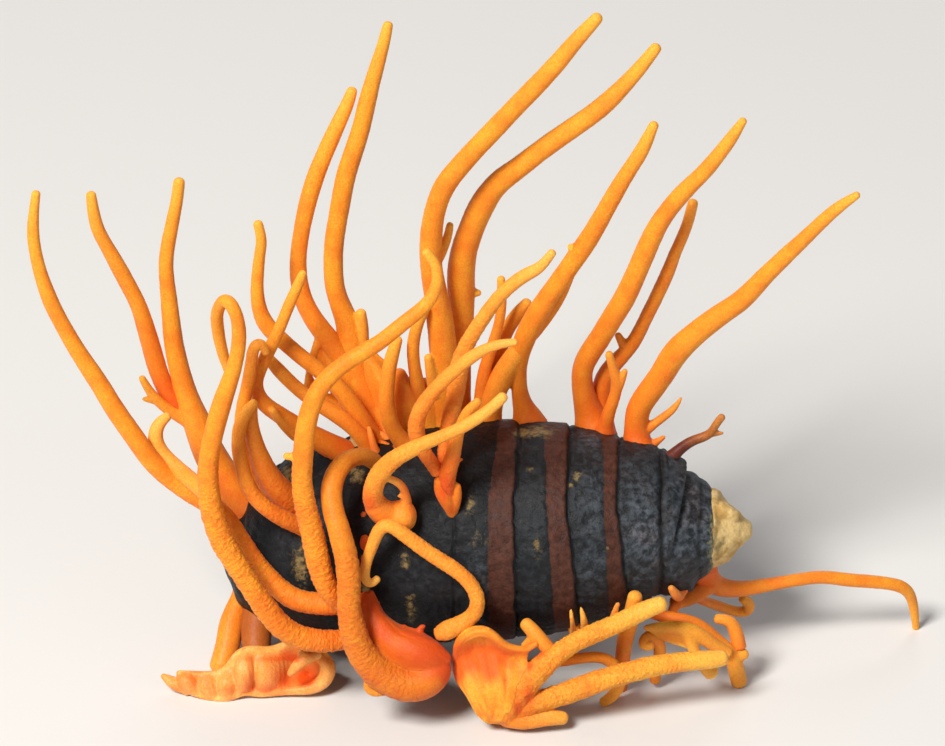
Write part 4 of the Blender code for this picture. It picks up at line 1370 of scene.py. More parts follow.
    def build(self, seed: int) -> bpy.types.Object:
        """Build the growth's skin with its relief and the numbers its finish reads.

        Wrinkles are 2.6 * |noise| on (distance along / spacing, a turn round the bar /
        length), so they run round it, and are cut off where they are highest.  Swellings
        are noise on the place itself.  Folds of calm parts are 1 - 2.6 * |noise| on long
        cells.  The root widens by flare * exp(-height over the husk / above) *
        exp(-distance to the root / along).

        Args:
            seed: Picks the noise.

        Returns:
            The finished piece.
        """
        relief = self.skin.value
        bars = self.bars()
        mesh = self.skin_mesh(bars)
        points, normals = points_of(mesh), normals_of(mesh)
        at = self.survey(points, bars)
        noise = SoftNoise(seed)
        cells = np.stack([*(at.turned / relief.around), at.gone / relief.along], axis=1)
        pillow = 2.6 * np.abs(noise.layered(cells, 2)) - 0.65
        wrinkled = self.wrinkled(at)
        height = relief.wrinkle * np.minimum(pillow, 0.6) * wrinkled
        height += relief.swell * noise.layered(points / self.SWELL_SIZE, 2)
        long = [*(at.turned / self.FOLD_SIZE[0]), at.gone / self.FOLD_SIZE[1]]
        folds = 1.0 - 2.6 * np.abs(noise.layered(np.stack(long, axis=1) + 5.0, 2))
        folds = np.clip(folds, -1.0, 1.0)
        height -= np.where(at.calm, self.crease * self.FOLD_DEPTH * folds, 0.0)
        above = np.exp(-np.maximum(HUSK_AXIS.depth_of(points), 0.0) / self.FLARE_ABOVE)
        height += self.flare * above * np.exp(-at.left / self.FLARE_ALONG)
        points += normals * height[:, None]
        points[:, 2] = np.maximum(points[:, 2], self.FLOOR)
        move_points(mesh, points)

        seen_at = VIEW.seen(points)
        facing = eased(normals @ VIEW.axes()[2], -0.2, 0.2)
        patched = sum((patch.over(*seen_at) for patch in self.patches), np.zeros(len(points)))
        red = np.maximum(np.exp(-at.left / self.ROOT_FADE) * ~at.calm, at.red)
        fine = wrinkled * min(1.0, relief.wrinkle / self.DEEPEST)
        # The folds of calm parts are marked for painted shade in their grooves.
        grooves = np.clip(folds, 0, 1) * 0.45 * self.crease
        mark(mesh, "tip", np.exp(-at.gone / self.TIP_FADE) * ~at.calm)
        # The foot's red with the patches laid on, on faces turned to the view; several patches are
        # painted shade.
        mark(mesh, "root", np.minimum(self.blush * red + patched * facing, 1.3))
        mark(mesh, "rough", np.where(at.calm, self.CALM_ROUGH, fine))
        mark(mesh, "groove", np.where(at.calm, grooves, 0.0))
        places = np.where(at.calm[:, None], points / self.CALM_GRAIN, cells)
        mark_places(mesh, "cells", places)
        nodes = (self.name,) if self.nodes is None else self.nodes
        return hand_over(mesh, f"{self.name}_flesh", self.slot, *nodes)

    def dress(self, obj: bpy.types.Object) -> None:
        """Give the growth its finish."""
        obj.data.materials.append((self.finish or FINISHES[self.slot]).material())


@dataclass
class Cluster:
    """Growths that stand together."""

    growths: tuple[Growth, ...] = ()
    seed: int = 1
    pieces: list[bpy.types.Object] = field(default_factory=list)

    def build(self) -> None:
        """Build every growth of the cluster, each with noise of its own."""
        for count, growth in enumerate(self.growths):
            self.pieces.append(growth.build(self.seed + count))

    def dress(self) -> None:
        """Give every growth its finish."""
        for growth, piece in zip(self.growths, self.pieces):
            growth.dress(piece)


@dataclass
class FrontMasses(Cluster):
    """The two fused masses at the lower front, with the clubs that grow out of them."""

    seed: int = 100
    growths: tuple[Growth, ...] = (
        Growth("front_left_mass", Slot.CLUB, Skin.WRINKLED, (
            ((379, 466, 17, -1.6), (371, 459, 18, -2.2), (362, 456, 18, -2.8), (347, 460, 20, -3.7),
             (336, 473, 21, -4.5), (331, 492, 22, -5.3), (333, 510, 22, -5.9), (339, 530, 23, -6.5),
             (346, 555, 24, -7), (349, 580, 24, -7.4), (349, 605, 24, -7.7), (353, 630, 27, -7.9),
             (361, 652, 30, -8), (377, 671, 32, -8.1), (400, 683, 36, -8.1), (420, 683, 37, -8),
             (434, 675, 34, -7.8), (438, 665, 30, -7.5)),
            ((382, 692, 9, -8.3), (372, 693, 10, -8.4), (366, 687, 9, -8.3), (372, 676, 12, -8.1)),
            ((424, 626, 6, -6.7), (420, 624, 7, -6.75), (419, 630, 8, -6.75), (422, 637, 9, -6.8),
             (424, 648, 11, -7)),
            ((366, 597, 17, -5.7), (370, 611, 24, -6.1), (380, 630, 32, -6.6), (395, 644, 36, -7),
             (411, 650, 40, -7.3), (427, 656, 38, -7.4), (439, 661, 32, -7.4),
             (443, 663, 26, -7.4)),
            ((368, 640, 18, -6.7), (386, 660, 22, -7), (408, 670, 26, -7.2), (430, 672, 26, -7.3)),
            ((371, 592, 7, -5.6), (376, 601, 7, -5.75), (380, 611, 8, -5.9), (386, 619, 7, -6.1),
             (394, 624, 8, -6.3), (402, 630, 8, -6.5), (409, 629, 8, -6.65), (417, 633, 8, -6.8),
             (428, 640, 9, -6.95), (440, 648, 9, -7.1)),
            ((378, 603, 6, -5.6), (375, 610, 9, -6)),
            ((404, 626, 6, -6.4), (403, 634, 9, -6.7)),
        ), nodes=("club_front_arch", "lobe_front_left"), calm=(2, 3, 4, 5, 6, 7), calm_red=0.72,
            # Patch(449, 662) paints the shade along its right edge, and its darker finish paints
            # the shade on the whole mass.
            patches=(Patch(449, 662, 9, 26, 0.6), Patch(376, 606, 12, 14, 0.5),
            Patch(405, 630, 34, 9, 0.5), Patch(425, 655, 20, 10, 0.3),
            Patch(408, 686, 34, 9, -0.3)), fade=3.0 * MM, crease=0.9, ease=12, finish=PAINTED_SHADE_FLESH),
        Growth("front_right_mass", Slot.CLUB, Skin.ROUGH, (
            ((722, 658, 18, -6.1), (712, 659, 20, -6.2), (690, 661, 20, -6.4), (660, 665, 21, -6.7),
             (630, 672, 22, -7), (600, 681, 23, -7.3), (572, 691, 23, -7.5), (550, 698, 22, -7.7),
             (528, 705, 20, -7.9), (508, 712, 18, -7.9)),
            ((661, 604, 17, -6.2), (645, 610, 19, -6.3), (625, 620, 20, -6.5), (600, 631, 20, -6.7),
             (577, 641, 20, -6.9), (556, 655, 22, -7.2), (538, 671, 25, -7.5), (522, 688, 28, -7.7),
             (508, 704, 32, -7.8), (500, 714, 30, -7.9)),
            ((563, 718, 15, -7.9), (552, 717, 17, -8), (536, 720, 17, -8.1), (520, 721, 18, -8.1),
             (505, 718, 18, -8)),
            ((457, 660, 8, -7), (457, 648, 10, -7.2), (463, 637, 11, -7.4), (473, 632, 12, -7.5),
             (486, 630, 12, -7.6), (494, 636, 12, -7.6), (501, 643, 11, -7.6), (510, 648, 11, -7.5),
             (520, 650, 9, -7.4), (530, 649, 8, -7.3), (537, 643, 8, -7.2)),
            ((471, 655, 24, -6.3), (474, 672, 32, -6.6), (482, 688, 34, -7.1), (492, 703, 36, -7.5),
             (496, 712, 34, -7.85)),
            ((488, 650, 24, -6.3), (492, 668, 32, -6.5), (496, 686, 40, -7.1), (498, 702, 42, -7.6),
             (497, 711, 36, -7.9)),
            ((505, 656, 16, -6.5), (507, 670, 24, -6.7), (506, 688, 32, -7.2),
             (502, 704, 36, -7.7)),
            ((521, 654, 8, -7.2), (522, 665, 12, -7.4), (519, 678, 18, -7.6), (512, 692, 22, -7.8)),
            ((540, 657, 8, -6.9), (530, 664, 8, -7), (518, 672, 14, -7.1)),
        ), nodes=("lobe_front_right", "club_front_right_lower", "club_front_right_upper",
            "club_front_right_short"), calm=(3, 4, 5, 6, 7, 8), calm_red=0.2,
            # Part of the patches' red is painted shade: under the rim, in the cup's hollow, in the
            # seam on its left and on the clubs' lower sides; the negative patch at the bottom and
            # the lighter finish paint light.
            patches=(Patch(490, 653, 18, 9, 0.85), Patch(466, 653, 13, 12, 0.85),
            Patch(516, 653, 14, 3, 0.6), Patch(530, 667, 3, 5, 0.9), Patch(540, 651, 6, 6, 1.0),
            Patch(529, 694, 5, 9, 0.8), Patch(518, 708, 4, 7, 0.7), Patch(456, 668, 7, 26, 1.0),
            Patch(476, 664, 26, 20, 0.8), Patch(507, 664, 9, 6, 0.35), Patch(492, 674, 9, 7, 0.5),
            Patch(506, 682, 4, 8, 0.35), Patch(482, 688, 4, 8, 0.3),
            Patch(495, 708, 16, 12, -0.15)), blush=0.6, fade=1.5 * MM, crease=1.15, ease=12,
            finish=PAINTED_LIGHT_FLESH,
            sheets=(
                Sheet((
                    ((455, 647, 9, -7.2), (453, 662, 12, -7), (456, 680, 16, -7.2),
                     (467, 696, 20, -7.6), (477, 712, 22, -7.8), (488, 722, 16, -7.9)),
                    ((464, 637, 9, -7.4), (466, 650, 12, -6.95), (468, 666, 16, -7.1),
                     (477, 686, 22, -7.6), (486, 704, 24, -7.9), (492, 721, 16, -7.9)),
                    ((475, 632, 9, -7.5), (478, 645, 12, -6.95), (482, 664, 16, -7.2),
                     (488, 686, 22, -7.7), (493, 704, 24, -8), (496, 721, 16, -7.9)),
                    ((487, 630, 9, -7.6), (490, 645, 12, -7), (494, 664, 16, -7.3),
                     (498, 686, 22, -7.8), (499, 704, 24, -8), (499, 721, 16, -7.9)),
                    ((500, 643, 9, -7.6), (503, 653, 12, -7.1), (506, 668, 16, -7.4),
                     (507, 688, 22, -7.8), (504, 704, 24, -8), (502, 720, 16, -7.9)),
                    ((513, 649, 8, -7.5), (515, 658, 11, -7.2), (516, 672, 15, -7.5),
                     (514, 688, 20, -7.8), (508, 704, 22, -8), (505, 718, 16, -7.9)),
                    ((528, 649, 8, -7.3), (527, 658, 10, -7.2), (525, 670, 12, -7.5),
                     (520, 684, 16, -7.7), (512, 700, 20, -7.9), (508, 716, 16, -7.9)),
                ), folds=0.08 * MM, count=5.0, red=0.16),
            )),
    )


@dataclass
class FrontClubs(Cluster):
    """The thick clubs that cross the husk's front left."""

    seed: int = 120
    growths: tuple[Growth, ...] = (
        Growth("club_front_s_curve", Slot.CLUB, Skin.WRINKLED_LOW, (
            ((426, 252, 10, -3.6), (435, 262, 11, -3.7), (438, 278, 12, -3.9), (433, 295, 13, -4.1),
             (423, 308, 14, -4.3), (405, 322, 15, -4.6), (380, 342, 16, -4.9), (355, 357, 17, -5.1),
             (335, 371, 18, -5.3), (320, 388, 19, -5.5), (310, 410, 20, -5.7), (305, 435, 21, -5.9),
             (303, 457, 21, -6), (302, 480, 21, -6.1), (304, 500, 22, -6.2), (309, 520, 23, -6.3),
             (315, 545, 24, -6.4), (322, 575, 23, -6.6), (331, 594, 22, -6.6), (342, 604, 20, -6.3),
             (349, 608, 18, -5.8)),
            ((286, 456, 8, -6), (302, 458, 10, -6)),
        )),
        Growth("club_front_left_hooked", Slot.CLUB, Skin.WRINKLED_LOW, (
            ((228, 371, 9, -3.2), (222, 350, 12, -3.3), (218, 330, 13, -3.5), (217, 313, 13, -3.9),
             (225, 299, 13, -4.5), (233, 307, 14, -4.9), (238, 322, 14, -5), (239, 340, 15, -5),
             (236, 360, 15, -5), (230, 380, 17, -5), (223, 400, 19, -5.1), (217, 420, 20, -5.2),
             (211, 445, 20, -5.3), (208, 470, 21, -5.4), (209, 495, 22, -5.6), (213, 515, 24, -5.8),
             (222, 540, 24, -6), (235, 562, 24, -6.2), (250, 585, 23, -6.4), (267, 610, 24, -6.5),
             (284, 629, 24, -6.5), (302, 638, 24, -6.4), (322, 641, 23, -6.3), (345, 640, 20, -6)),
        )),
        Growth("club_far_left", Slot.CLUB, Skin.WRINKLED_FAINT, (
            ((36, 194, 10, -0.6), (34, 210, 11, -0.7), (33, 230, 12, -0.9), (35, 250, 13, -1),
             (41, 275, 14, -1.2), (50, 300, 16, -1.4), (60, 320, 16, -1.5), (77, 350, 17, -1.7),
             (97, 380, 19, -1.9), (109, 400, 20, -2.1), (122, 420, 20, -2.3), (135, 438, 20, -2.4),
             (151, 460, 20, -2.6), (172, 480, 20, -2.8), (198, 497, 20, -3.1), (222, 513, 19, -3.4),
             (240, 538, 19, -3.8), (260, 568, 20, -4.3), (287, 595, 22, -4.9), (310, 603, 22, -5.2),
             (335, 604, 22, -5.3), (350, 602, 20, -5)),
        )),
    )


@dataclass
class LeftClubs(Cluster):
    """The clubs on and behind the husk's left shoulder."""

    seed: int = 140
    growths: tuple[Growth, ...] = (
        Growth("club_rear_left_tall", Slot.CLUB, Skin.VELVET, (
            ((179, 182, 13, 5.2), (177, 200, 13, 5.1), (171, 230, 14, 4.9), (167, 250, 15, 4.7),
             (166, 270, 15, 4.5), (169, 300, 17, 4.2), (172, 330, 19, 3.9), (175, 350, 20, 3.7),
             (182, 380, 22, 3.3), (188, 400, 24, 3), (196, 420, 28, 2.7), (208, 450, 32, 2.3),
             (224, 480, 36, 1.9), (240, 506, 38, 1.5), (252, 524, 36, 1.3)),
            ((142, 378, 8, 2.6), (149, 390, 9, 2.6), (158, 401, 11, 2.6), (170, 411, 12, 2.6),
             (186, 420, 14, 2.6)),
            ((144, 399, 5, 2.5), (156, 401, 8, 2.6)),
        )),
        Growth("club_rear_left_outer", Slot.CLUB, Skin.VELVET, (
            ((91, 195, 11, 4.2), (93, 210, 12, 4.1), (98, 230, 14, 4), (109, 250, 14, 3.9),
             (120, 270, 16, 3.8), (136, 300, 16, 3.7), (144, 322, 18, 3.6), (152, 350, 19, 3.5),
             (158, 370, 19, 3.4), (166, 390, 18, 3.2), (178, 407, 18, 3)),
        )),
        Growth("finger_left_hook", Slot.PALE_CLUB, Skin.PITTED, (
            ((167, 417, 10, -1.3), (160, 422, 13, -1.5), (155, 433, 15, -1.7), (157, 446, 16, -1.9),
             (166, 458, 16, -2.2), (179, 470, 17, -2.7), (192, 481, 17, -3.5), (202, 490, 16, -4.4),
             (208, 498, 14, -5.1)),
        ), blush=0.2, sink=False),
        Growth("club_left_thick", Slot.LOBE, Skin.PITTED, (
            ((253, 406, 10, -2.3), (251, 420, 14, -2.5), (253, 436, 17, -2.6), (258, 452, 19, -2.6),
             (265, 470, 23, -2.5), (277, 488, 27, -2.3), (292, 502, 30, -1.9),
             (306, 514, 30, -1.1)),
        )),
        Growth("club_left_loop", Slot.CLUB, Skin.PITTED, (
            ((254, 403, 10, -2.6), (246, 412, 13, -2.8), (240, 425, 14, -3), (238, 443, 14, -3.1),
             (241, 462, 15, -3.3), (246, 480, 15, -3.5), (254, 496, 16, -3.6), (266, 508, 16, -3.7),
             (282, 518, 17, -3.6), (298, 525, 18, -3.3), (313, 531, 18, -2.8)),
        )),
        Growth("club_left_crook", Slot.LOBE, Skin.VELVET, (
            ((266, 352, 9, -0.9), (262, 342, 11, -0.9), (254, 345, 12, -0.9), (251, 365, 12, -1),
             (247, 388, 13, -1.2), (242, 410, 13, -1.4), (240, 430, 12, -1.5), (245, 452, 12, -1.4),
             (256, 474, 14, -1.2), (270, 494, 14, -1)),
        )),
        Growth("club_left_bowed", Slot.CLUB, Skin.VELVET, (
            ((303, 273, 9, 0.5), (298, 285, 11, 0.5), (290, 303, 12, 0.4), (283, 320, 12, 0.2),
             (277, 335, 13, 0.1), (269, 350, 14, 0), (261, 367, 14, -0.1), (255, 385, 15, -0.2),
             (262, 402, 16, -0.2), (280, 415, 18, -0.1), (303, 430, 20, 0.2), (325, 443, 24, 0.6),
             (344, 452, 26, 1)),
            ((273, 410, 8, -0.7), (282, 424, 10, -0.6), (296, 436, 12, -0.2)),
        )),
    )


@dataclass
class RearFan(Cluster):
    """The tall fan behind and on top of the husk, and its fused feet."""

    seed: int = 160
    growths: tuple[Growth, ...] = (
        Growth("club_rear_tall", Slot.CLUB, Skin.VELVET, (
            ((388, 25, 11, 6.6), (383, 46, 13, 6.4), (371, 87, 17, 6), (360, 132, 19, 5.5),
             (347, 172, 20, 5.1), (340, 207, 20, 4.8), (335, 235, 20, 4.5), (333, 262, 20, 4.2),
             (335, 288, 20, 4), (341, 306, 21, 3.9), (348, 325, 24, 3.7), (352, 350, 30, 3.5),
             (358, 378, 38, 3.3), (367, 405, 46, 3.1), (374, 430, 48, 3), (377, 446, 44, 2.8)),
            ((361, 313, 12, 3.5), (362, 328, 14, 3.5), (360, 350, 18, 3.4)),
        ), blush=0.4),
        Growth("club_rear_second", Slot.CLUB, Skin.VELVET, (
            ((352, 91, 12, 6), (348, 103, 14, 5.9), (334, 133, 17, 5.6), (318, 170, 18, 5.2),
             (307, 205, 18, 4.8), (301, 235, 17, 4.4), (298, 262, 17, 4.1), (300, 288, 18, 3.9),
             (307, 308, 19, 3.7), (317, 324, 20, 3.5), (329, 340, 22, 3.3), (343, 362, 24, 3.1)),
            ((306, 392, 7, 2.6), (309, 375, 8, 2.7), (313, 356, 8, 2.9), (320, 338, 10, 3.2)),
        ), blush=0.4),
        Growth("club_left_slender", Slot.CLUB, Skin.VELVET, (
            ((258, 224, 11, 2), (262, 240, 11, 1.9), (260, 252, 11, 1.9), (258, 270, 12, 1.8),
             (257, 290, 13, 1.7), (259, 308, 15, 1.6), (267, 326, 17, 1.4), (284, 342, 16, 1.3),
             (300, 356, 16, 1.2), (317, 369, 16, 1.1), (334, 383, 17, 1), (348, 399, 18, 0.9),
             (361, 419, 19, 0.9), (373, 438, 20, 1.1), (380, 450, 20, 1.1)),
        ), blush=0.55),
        Growth("club_left_slender_low", Slot.CLUB, Skin.VELVET, (
            ((264, 353, 10, 1), (273, 364, 13, 1), (286, 378, 14, 0.9), (300, 391, 14, 0.8),
             (316, 402, 15, 0.6), (334, 413, 16, 0.4), (350, 425, 16, 0.3), (362, 437, 16, 0.3),
             (370, 450, 16, 0.5)),
        ), blush=0.55),
        Growth("base_fan_centre", Slot.CLUB, Skin.VELVET, (
            ((399, 374, 16, 1.5), (402, 392, 30, 1.6), (406, 412, 38, 1.8), (410, 432, 36, 1.8)),
            ((424, 386, 22, 1.9), (426, 404, 30, 2), (428, 428, 30, 2)),
            ((316, 342, 7, 3.1), (317, 352, 10, 3.1), (327, 366, 14, 3), (340, 384, 16, 2.8)),
            ((309, 374, 6, 2.8), (311, 384, 9, 2.7), (325, 398, 12, 2.5), (346, 412, 14, 2.3)),
            ((365, 352, 12, 3.3), (382, 380, 20, 2.7), (394, 404, 26, 2.1), (403, 430, 30, 1.7)),
        ), calm=(0, 1, 2, 3, 4), calm_red=0.14,
            sheets=(
                Sheet((
                    ((317, 347, 8, 3.3), (324, 368, 12, 3), (336, 392, 12, 2.6),
                     (350, 416, 12, 2.2), (362, 440, 12, 1.8)),
                    ((330, 338, 14, 3.5), (338, 365, 18, 3.1), (352, 392, 16, 2.7),
                     (366, 418, 14, 2.2), (375, 440, 12, 1.8)),
                    ((350, 338, 16, 3.6), (356, 365, 18, 3.2), (368, 392, 16, 2.8),
                     (380, 415, 14, 2.3), (388, 438, 12, 1.7)),
                    ((364, 347, 12, 3.6), (374, 368, 16, 3.2), (384, 392, 16, 2.7),
                     (393, 412, 14, 2.3), (400, 436, 12, 1.7)),
                    ((372, 355, 8, 3.2), (392, 377, 14, 2.9), (404, 395, 16, 2.5),
                     (409, 412, 14, 2.2), (413, 432, 12, 1.7)),
                ), folds=0.16 * MM, count=4.5, red=0.1),
            )),
        Growth("club_tall", Slot.CLUB, Skin.VELVET, (
            ((597, 18, 14, -1.4), (575, 42, 17, -1.1), (552, 69, 19, -0.8), (505, 118, 20, -0.3),
             (461, 165, 21, 0.2), (443, 189, 22, 0.4), (434, 215, 22, 0.6), (431, 240, 23, 0.8),
             (431, 265, 22, 1), (435, 290, 24, 1.2), (440, 320, 27, 1.4), (443, 350, 28, 1.6),
             (445, 380, 29, 1.8), (446, 404, 30, 2), (446, 426, 30, 2)),
            ((450, 225, 9, 1.7), (447, 240, 10, 1.6), (438, 258, 12, 1.2)),
            ((428, 357, 9, 0.9), (431, 372, 12, 1.1), (436, 392, 16, 1.5)),
        ), blush=0.55),
        Growth("club_tall_right", Slot.CLUB, Skin.VELVET, (
            ((656, 48, 13, 0.2), (633, 76, 16, 0.3), (598, 110, 20, 0.6), (552, 142, 21, 0.9),
             (518, 168, 22, 1.2), (496, 185, 24, 1.5), (481, 207, 26, 1.8), (471, 230, 26, 2),
             (464, 250, 27, 2.2), (461, 270, 28, 2.4), (461, 290, 28, 2.6), (462, 320, 24, 2.9),
             (461, 350, 22, 3.2), (460, 380, 22, 3.3), (459, 408, 24, 3.2), (459, 424, 24, 3)),
            ((479, 293, 7, 2.6), (466, 292, 14, 2.6)),
        ), blush=0.55),
        Growth("club_centre_left_front", Slot.CLUB, Skin.VELVET, (
            ((397, 340, 12, 0.2), (391, 360, 14, 0.1), (387, 385, 15, 0), (387, 408, 16, -0.2),
             (392, 427, 17, -0.3), (402, 441, 17, -0.3), (413, 452, 16, -0.4)),
        ), blush=0.55),
        Growth("club_centre_left_back", Slot.CLUB, Skin.VELVET, (
            ((425, 309, 11, 0.6), (417, 326, 12, 0.7), (413, 345, 13, 0.8), (414, 365, 13, 1),
             (418, 386, 14, 1.3), (421, 400, 14, 1.6)),
        ), blush=0.55),
    )


@dataclass
class CentreClubs(Cluster):
    """The clubs rooted on the husk's front."""

    seed: int = 180
    growths: tuple[Growth, ...] = (
        Growth("bulb_centre", Slot.CLUB, Skin.PITTED, (
            ((478, 402, 11, -5), (467, 412, 11, -5), (460, 427, 12, -4.9), (456, 442, 14, -4.9),
             (452, 460, 16, -4.8), (447, 475, 18, -4.6), (445, 490, 20, -4.4)),
            ((440, 481, 14, -4.6), (443, 490, 20, -4.5), (447, 500, 17, -4.45),
             (450, 509, 11, -4.4), (452, 517, 6, -4.3), (453, 521, 3, -4.2)),
            ((457, 486, 9, -4.5), (456, 494, 13, -4.5), (455, 503, 12, -4.4), (453, 513, 8, -4.3)),
            ((463, 459, 3, -4.6), (457, 461, 5, -4.7)),
        ), calm=(1, 2, 3), calm_red=0.35, patches=(Patch(444, 494, 8, 14, 0.7),
            Patch(452, 512, 5, 7, 0.5)), sink=False, flare=0.04 * MM, ease=7),
        Growth("club_centre_reaching", Slot.PALE_CLUB, Skin.PITTED, (
            ((552, 253, 9, -3.6), (545, 262, 10, -3.5), (538, 269, 12, -3.4), (529, 273, 13, -3.3),
             (515, 282, 14, -3.2), (500, 296, 14, -3.1), (488, 311, 14, -3), (478, 326, 15, -3),
             (468, 342, 16, -3), (461, 360, 18, -3), (457, 382, 19, -3), (454, 402, 17, -3.1),
             (449, 420, 15, -3.3), (445, 438, 13, -3.5), (443, 455, 12, -3.9),
             (444, 472, 12, -4.3)),
        )),
        Growth("club_centre_bowed", Slot.PALE_CLUB, Skin.PITTED, (
            ((515, 342, 8, -5.2), (500, 344, 10, -5.1), (485, 349, 11, -5), (470, 358, 13, -4.9),
             (455, 370, 14, -4.8), (440, 384, 14, -4.7), (428, 398, 15, -4.6), (419, 413, 16, -4.6),
             (416, 428, 17, -4.5), (419, 443, 16, -4.4), (428, 458, 15, -4.4),
             (438, 472, 14, -4.5)),
        )),
        Growth("club_front_curl", Slot.PALE_CLUB, Skin.PITTED, (
            ((503, 397, 12, -5.9), (490, 409, 12, -6), (470, 423, 13, -6.1), (450, 433, 13, -6.2),
             (430, 441, 14, -6.2), (410, 450, 16, -6.1), (393, 460, 18, -6), (380, 473, 20, -5.8),
             (373, 489, 20, -5.6), (374, 502, 22, -5.3), (383, 512, 26, -5)),
            ((385, 478, 7, -5.7), (394, 480, 8, -5.5), (402, 486, 9, -5.2), (406, 494, 9, -5),
             (406, 504, 13, -4.8)),
            ((404, 515, 35, -4.9), (395, 517, 34, -4.9), (385, 514, 29, -5), (375, 505, 24, -5.3)),
            ((398, 496, 4, -5.2), (405, 497, 7, -5)),
        ), calm=(2,), calm_red=0.7, patches=(Patch(407, 487, 8, 12, 0.5),
            Patch(413, 506, 7, 10, 0.45), Patch(369, 504, 10, 14, 0.7)), blush=0.3, sink=False,
            ease=10),
        Growth("club_front_hook", Slot.PALE_CLUB, Skin.PITTED, (
            ((377, 579, 8, -6), (373, 585, 9, -6.1), (365, 582, 10, -6.1), (365, 571, 10, -6.1),
             (367, 560, 11, -6.1), (372, 546, 12, -6), (378, 531, 13, -6), (385, 524, 13, -6),
             (394, 527, 14, -6), (406, 536, 15, -6), (425, 550, 15, -6.2), (445, 563, 15, -6.4),
             (462, 575, 15, -6.6), (474, 589, 15, -6.8), (478, 603, 15, -6.9), (473, 616, 16, -6.9),
             (461, 624, 17, -7), (450, 629, 19, -7.1), (444, 632, 22, -7.1), (441, 633, 21, -7.1),
             (438, 634, 14, -7.1)),
        ), blush=0.4, sink=False),
    )


@dataclass
class RightFan(Cluster):
    """The clubs that lean right from the husk's back."""

    seed: int = 200
    growths: tuple[Growth, ...] = (
        Growth("club_right_tall", Slot.CLUB, Skin.VELVET, (
            ((654, 125, 11, 0.6), (641, 152, 15, 0.8), (621, 183, 17, 1), (600, 220, 19, 1.2),
             (588, 240, 20, 1.4), (567, 270, 20, 1.6), (546, 300, 21, 1.8), (533, 321, 22, 1.9),
             (523, 343, 22, 2.1), (519, 363, 18, 2.3), (519, 383, 16, 2.4), (522, 403, 19, 2.5),
             (529, 420, 30, 2.5), (533, 434, 30, 2.3)),
            ((522, 346, 20, 2.1), (509, 364, 22, 2.2), (498, 384, 24, 2.3), (489, 404, 28, 2.4),
             (486, 426, 28, 2.4)),
            ((573, 274, 6, 2.8), (562, 295, 10, 2.8), (547, 317, 12, 2.7), (532, 336, 12, 2.4)),
            ((570, 247, 8, 1.5), (584, 252, 12, 1.5)),
        )),
        Growth("club_right_short_outer", Slot.CLUB, Skin.VELVET, (
            ((527, 303, 12, 3.5), (518, 313, 14, 3.5), (507, 330, 14, 3.4), (500, 350, 14, 3.3),
             (495, 370, 16, 3.2), (490, 392, 18, 3.1)),
        )),
        Growth("club_right_short_inner", Slot.CLUB, Skin.VELVET, (
            ((501, 279, 9, 2.3), (502, 294, 10, 2.3), (500, 318, 10, 2.4), (495, 338, 11, 2.5),
             (488, 358, 12, 2.5), (483, 378, 13, 2.4), (481, 398, 14, 2.3)),
        )),
        Growth("club_right_mid", Slot.CLUB, Skin.VELVET, (
            ((743, 121, 9, 0.2), (727, 144, 14, 0.5), (705, 171, 16, 0.8), (680, 196, 18, 1.1),
             (660, 222, 19, 1.4), (647, 248, 21, 1.6), (634, 278, 21, 1.8), (624, 299, 22, 1.9),
             (611, 320, 22, 2), (600, 338, 22, 2.1), (589, 354, 22, 2.1), (582, 371, 21, 2.2),
             (583, 390, 22, 2.3), (588, 408, 28, 2.4), (594, 424, 36, 2.3), (597, 438, 34, 2)),
        )),
        Growth("club_right_mid_thin", Slot.LOBE, Skin.VELVET, (
            ((693, 203, 12, 2.9), (688, 222, 12, 2.9), (682, 238, 12, 2.9), (675, 253, 12, 2.9),
             (668, 272, 14, 2.9), (655, 300, 14, 3), (645, 320, 14, 3), (635, 340, 15, 3.1),
             (622, 356, 16, 3.1), (607, 372, 18, 3), (601, 392, 20, 2.9), (603, 412, 20, 2.8)),
            ((618, 335, 8, 3), (627, 352, 12, 3.1)),
        )),
        Growth("twig_right_forked", Slot.CLUB, Skin.VELVET, (
            ((609, 354, 9, 0.8), (613, 368, 10, 0.9), (617, 382, 12, 1), (615, 396, 12, 1.1),
             (609, 412, 13, 1.2), (605, 428, 14, 1.4), (604, 440, 14, 1.4)),
            ((625, 371, 7, 0.9), (621, 382, 9, 1), (615, 396, 10, 1.1)),
        )),
        Growth("club_right_long", Slot.CLUB, Skin.VELVET, (
            ((857, 195, 9, -2.2), (835, 210, 13, -1.8), (806, 237, 15, -1.4), (769, 272, 18, -0.8),
             (744, 298, 21, -0.4), (720, 315, 22, 0), (695, 334, 24, 0.3), (675, 353, 26, 0.6),
             (663, 373, 25, 0.9), (650, 391, 25, 1.1), (639, 408, 24, 1.3), (636, 428, 24, 1.3),
             (640, 446, 24, 1), (643, 458, 22, 0.6)),
            ((681, 398, 4, 1.2), (675, 408, 8, 1.2), (662, 418, 9, 1.2), (650, 427, 10, 1.2),
             (638, 436, 12, 1.2)),
            ((664, 437, 5, 0.9), (655, 443, 7, 1), (643, 448, 10, 1)),
        )),
        Growth("club_right_red", Slot.LOBE, Skin.VELVET, (
            ((722, 417, 9, 0.6), (717, 422, 9, 0.6), (713, 430, 9, 0.7), (709, 436, 10, 0.8),
             (699, 438, 10, 0.8), (689, 442, 11, 0.7), (680, 449, 12, 0.6), (671, 457, 13, 0.4),
             (663, 468, 14, 0.1)),
            ((723, 433, 4, 0.6), (717, 434, 6, 0.7), (709, 434, 8, 0.8)),
        ), blush=1.5, finish=DARK_FLESH),
    )


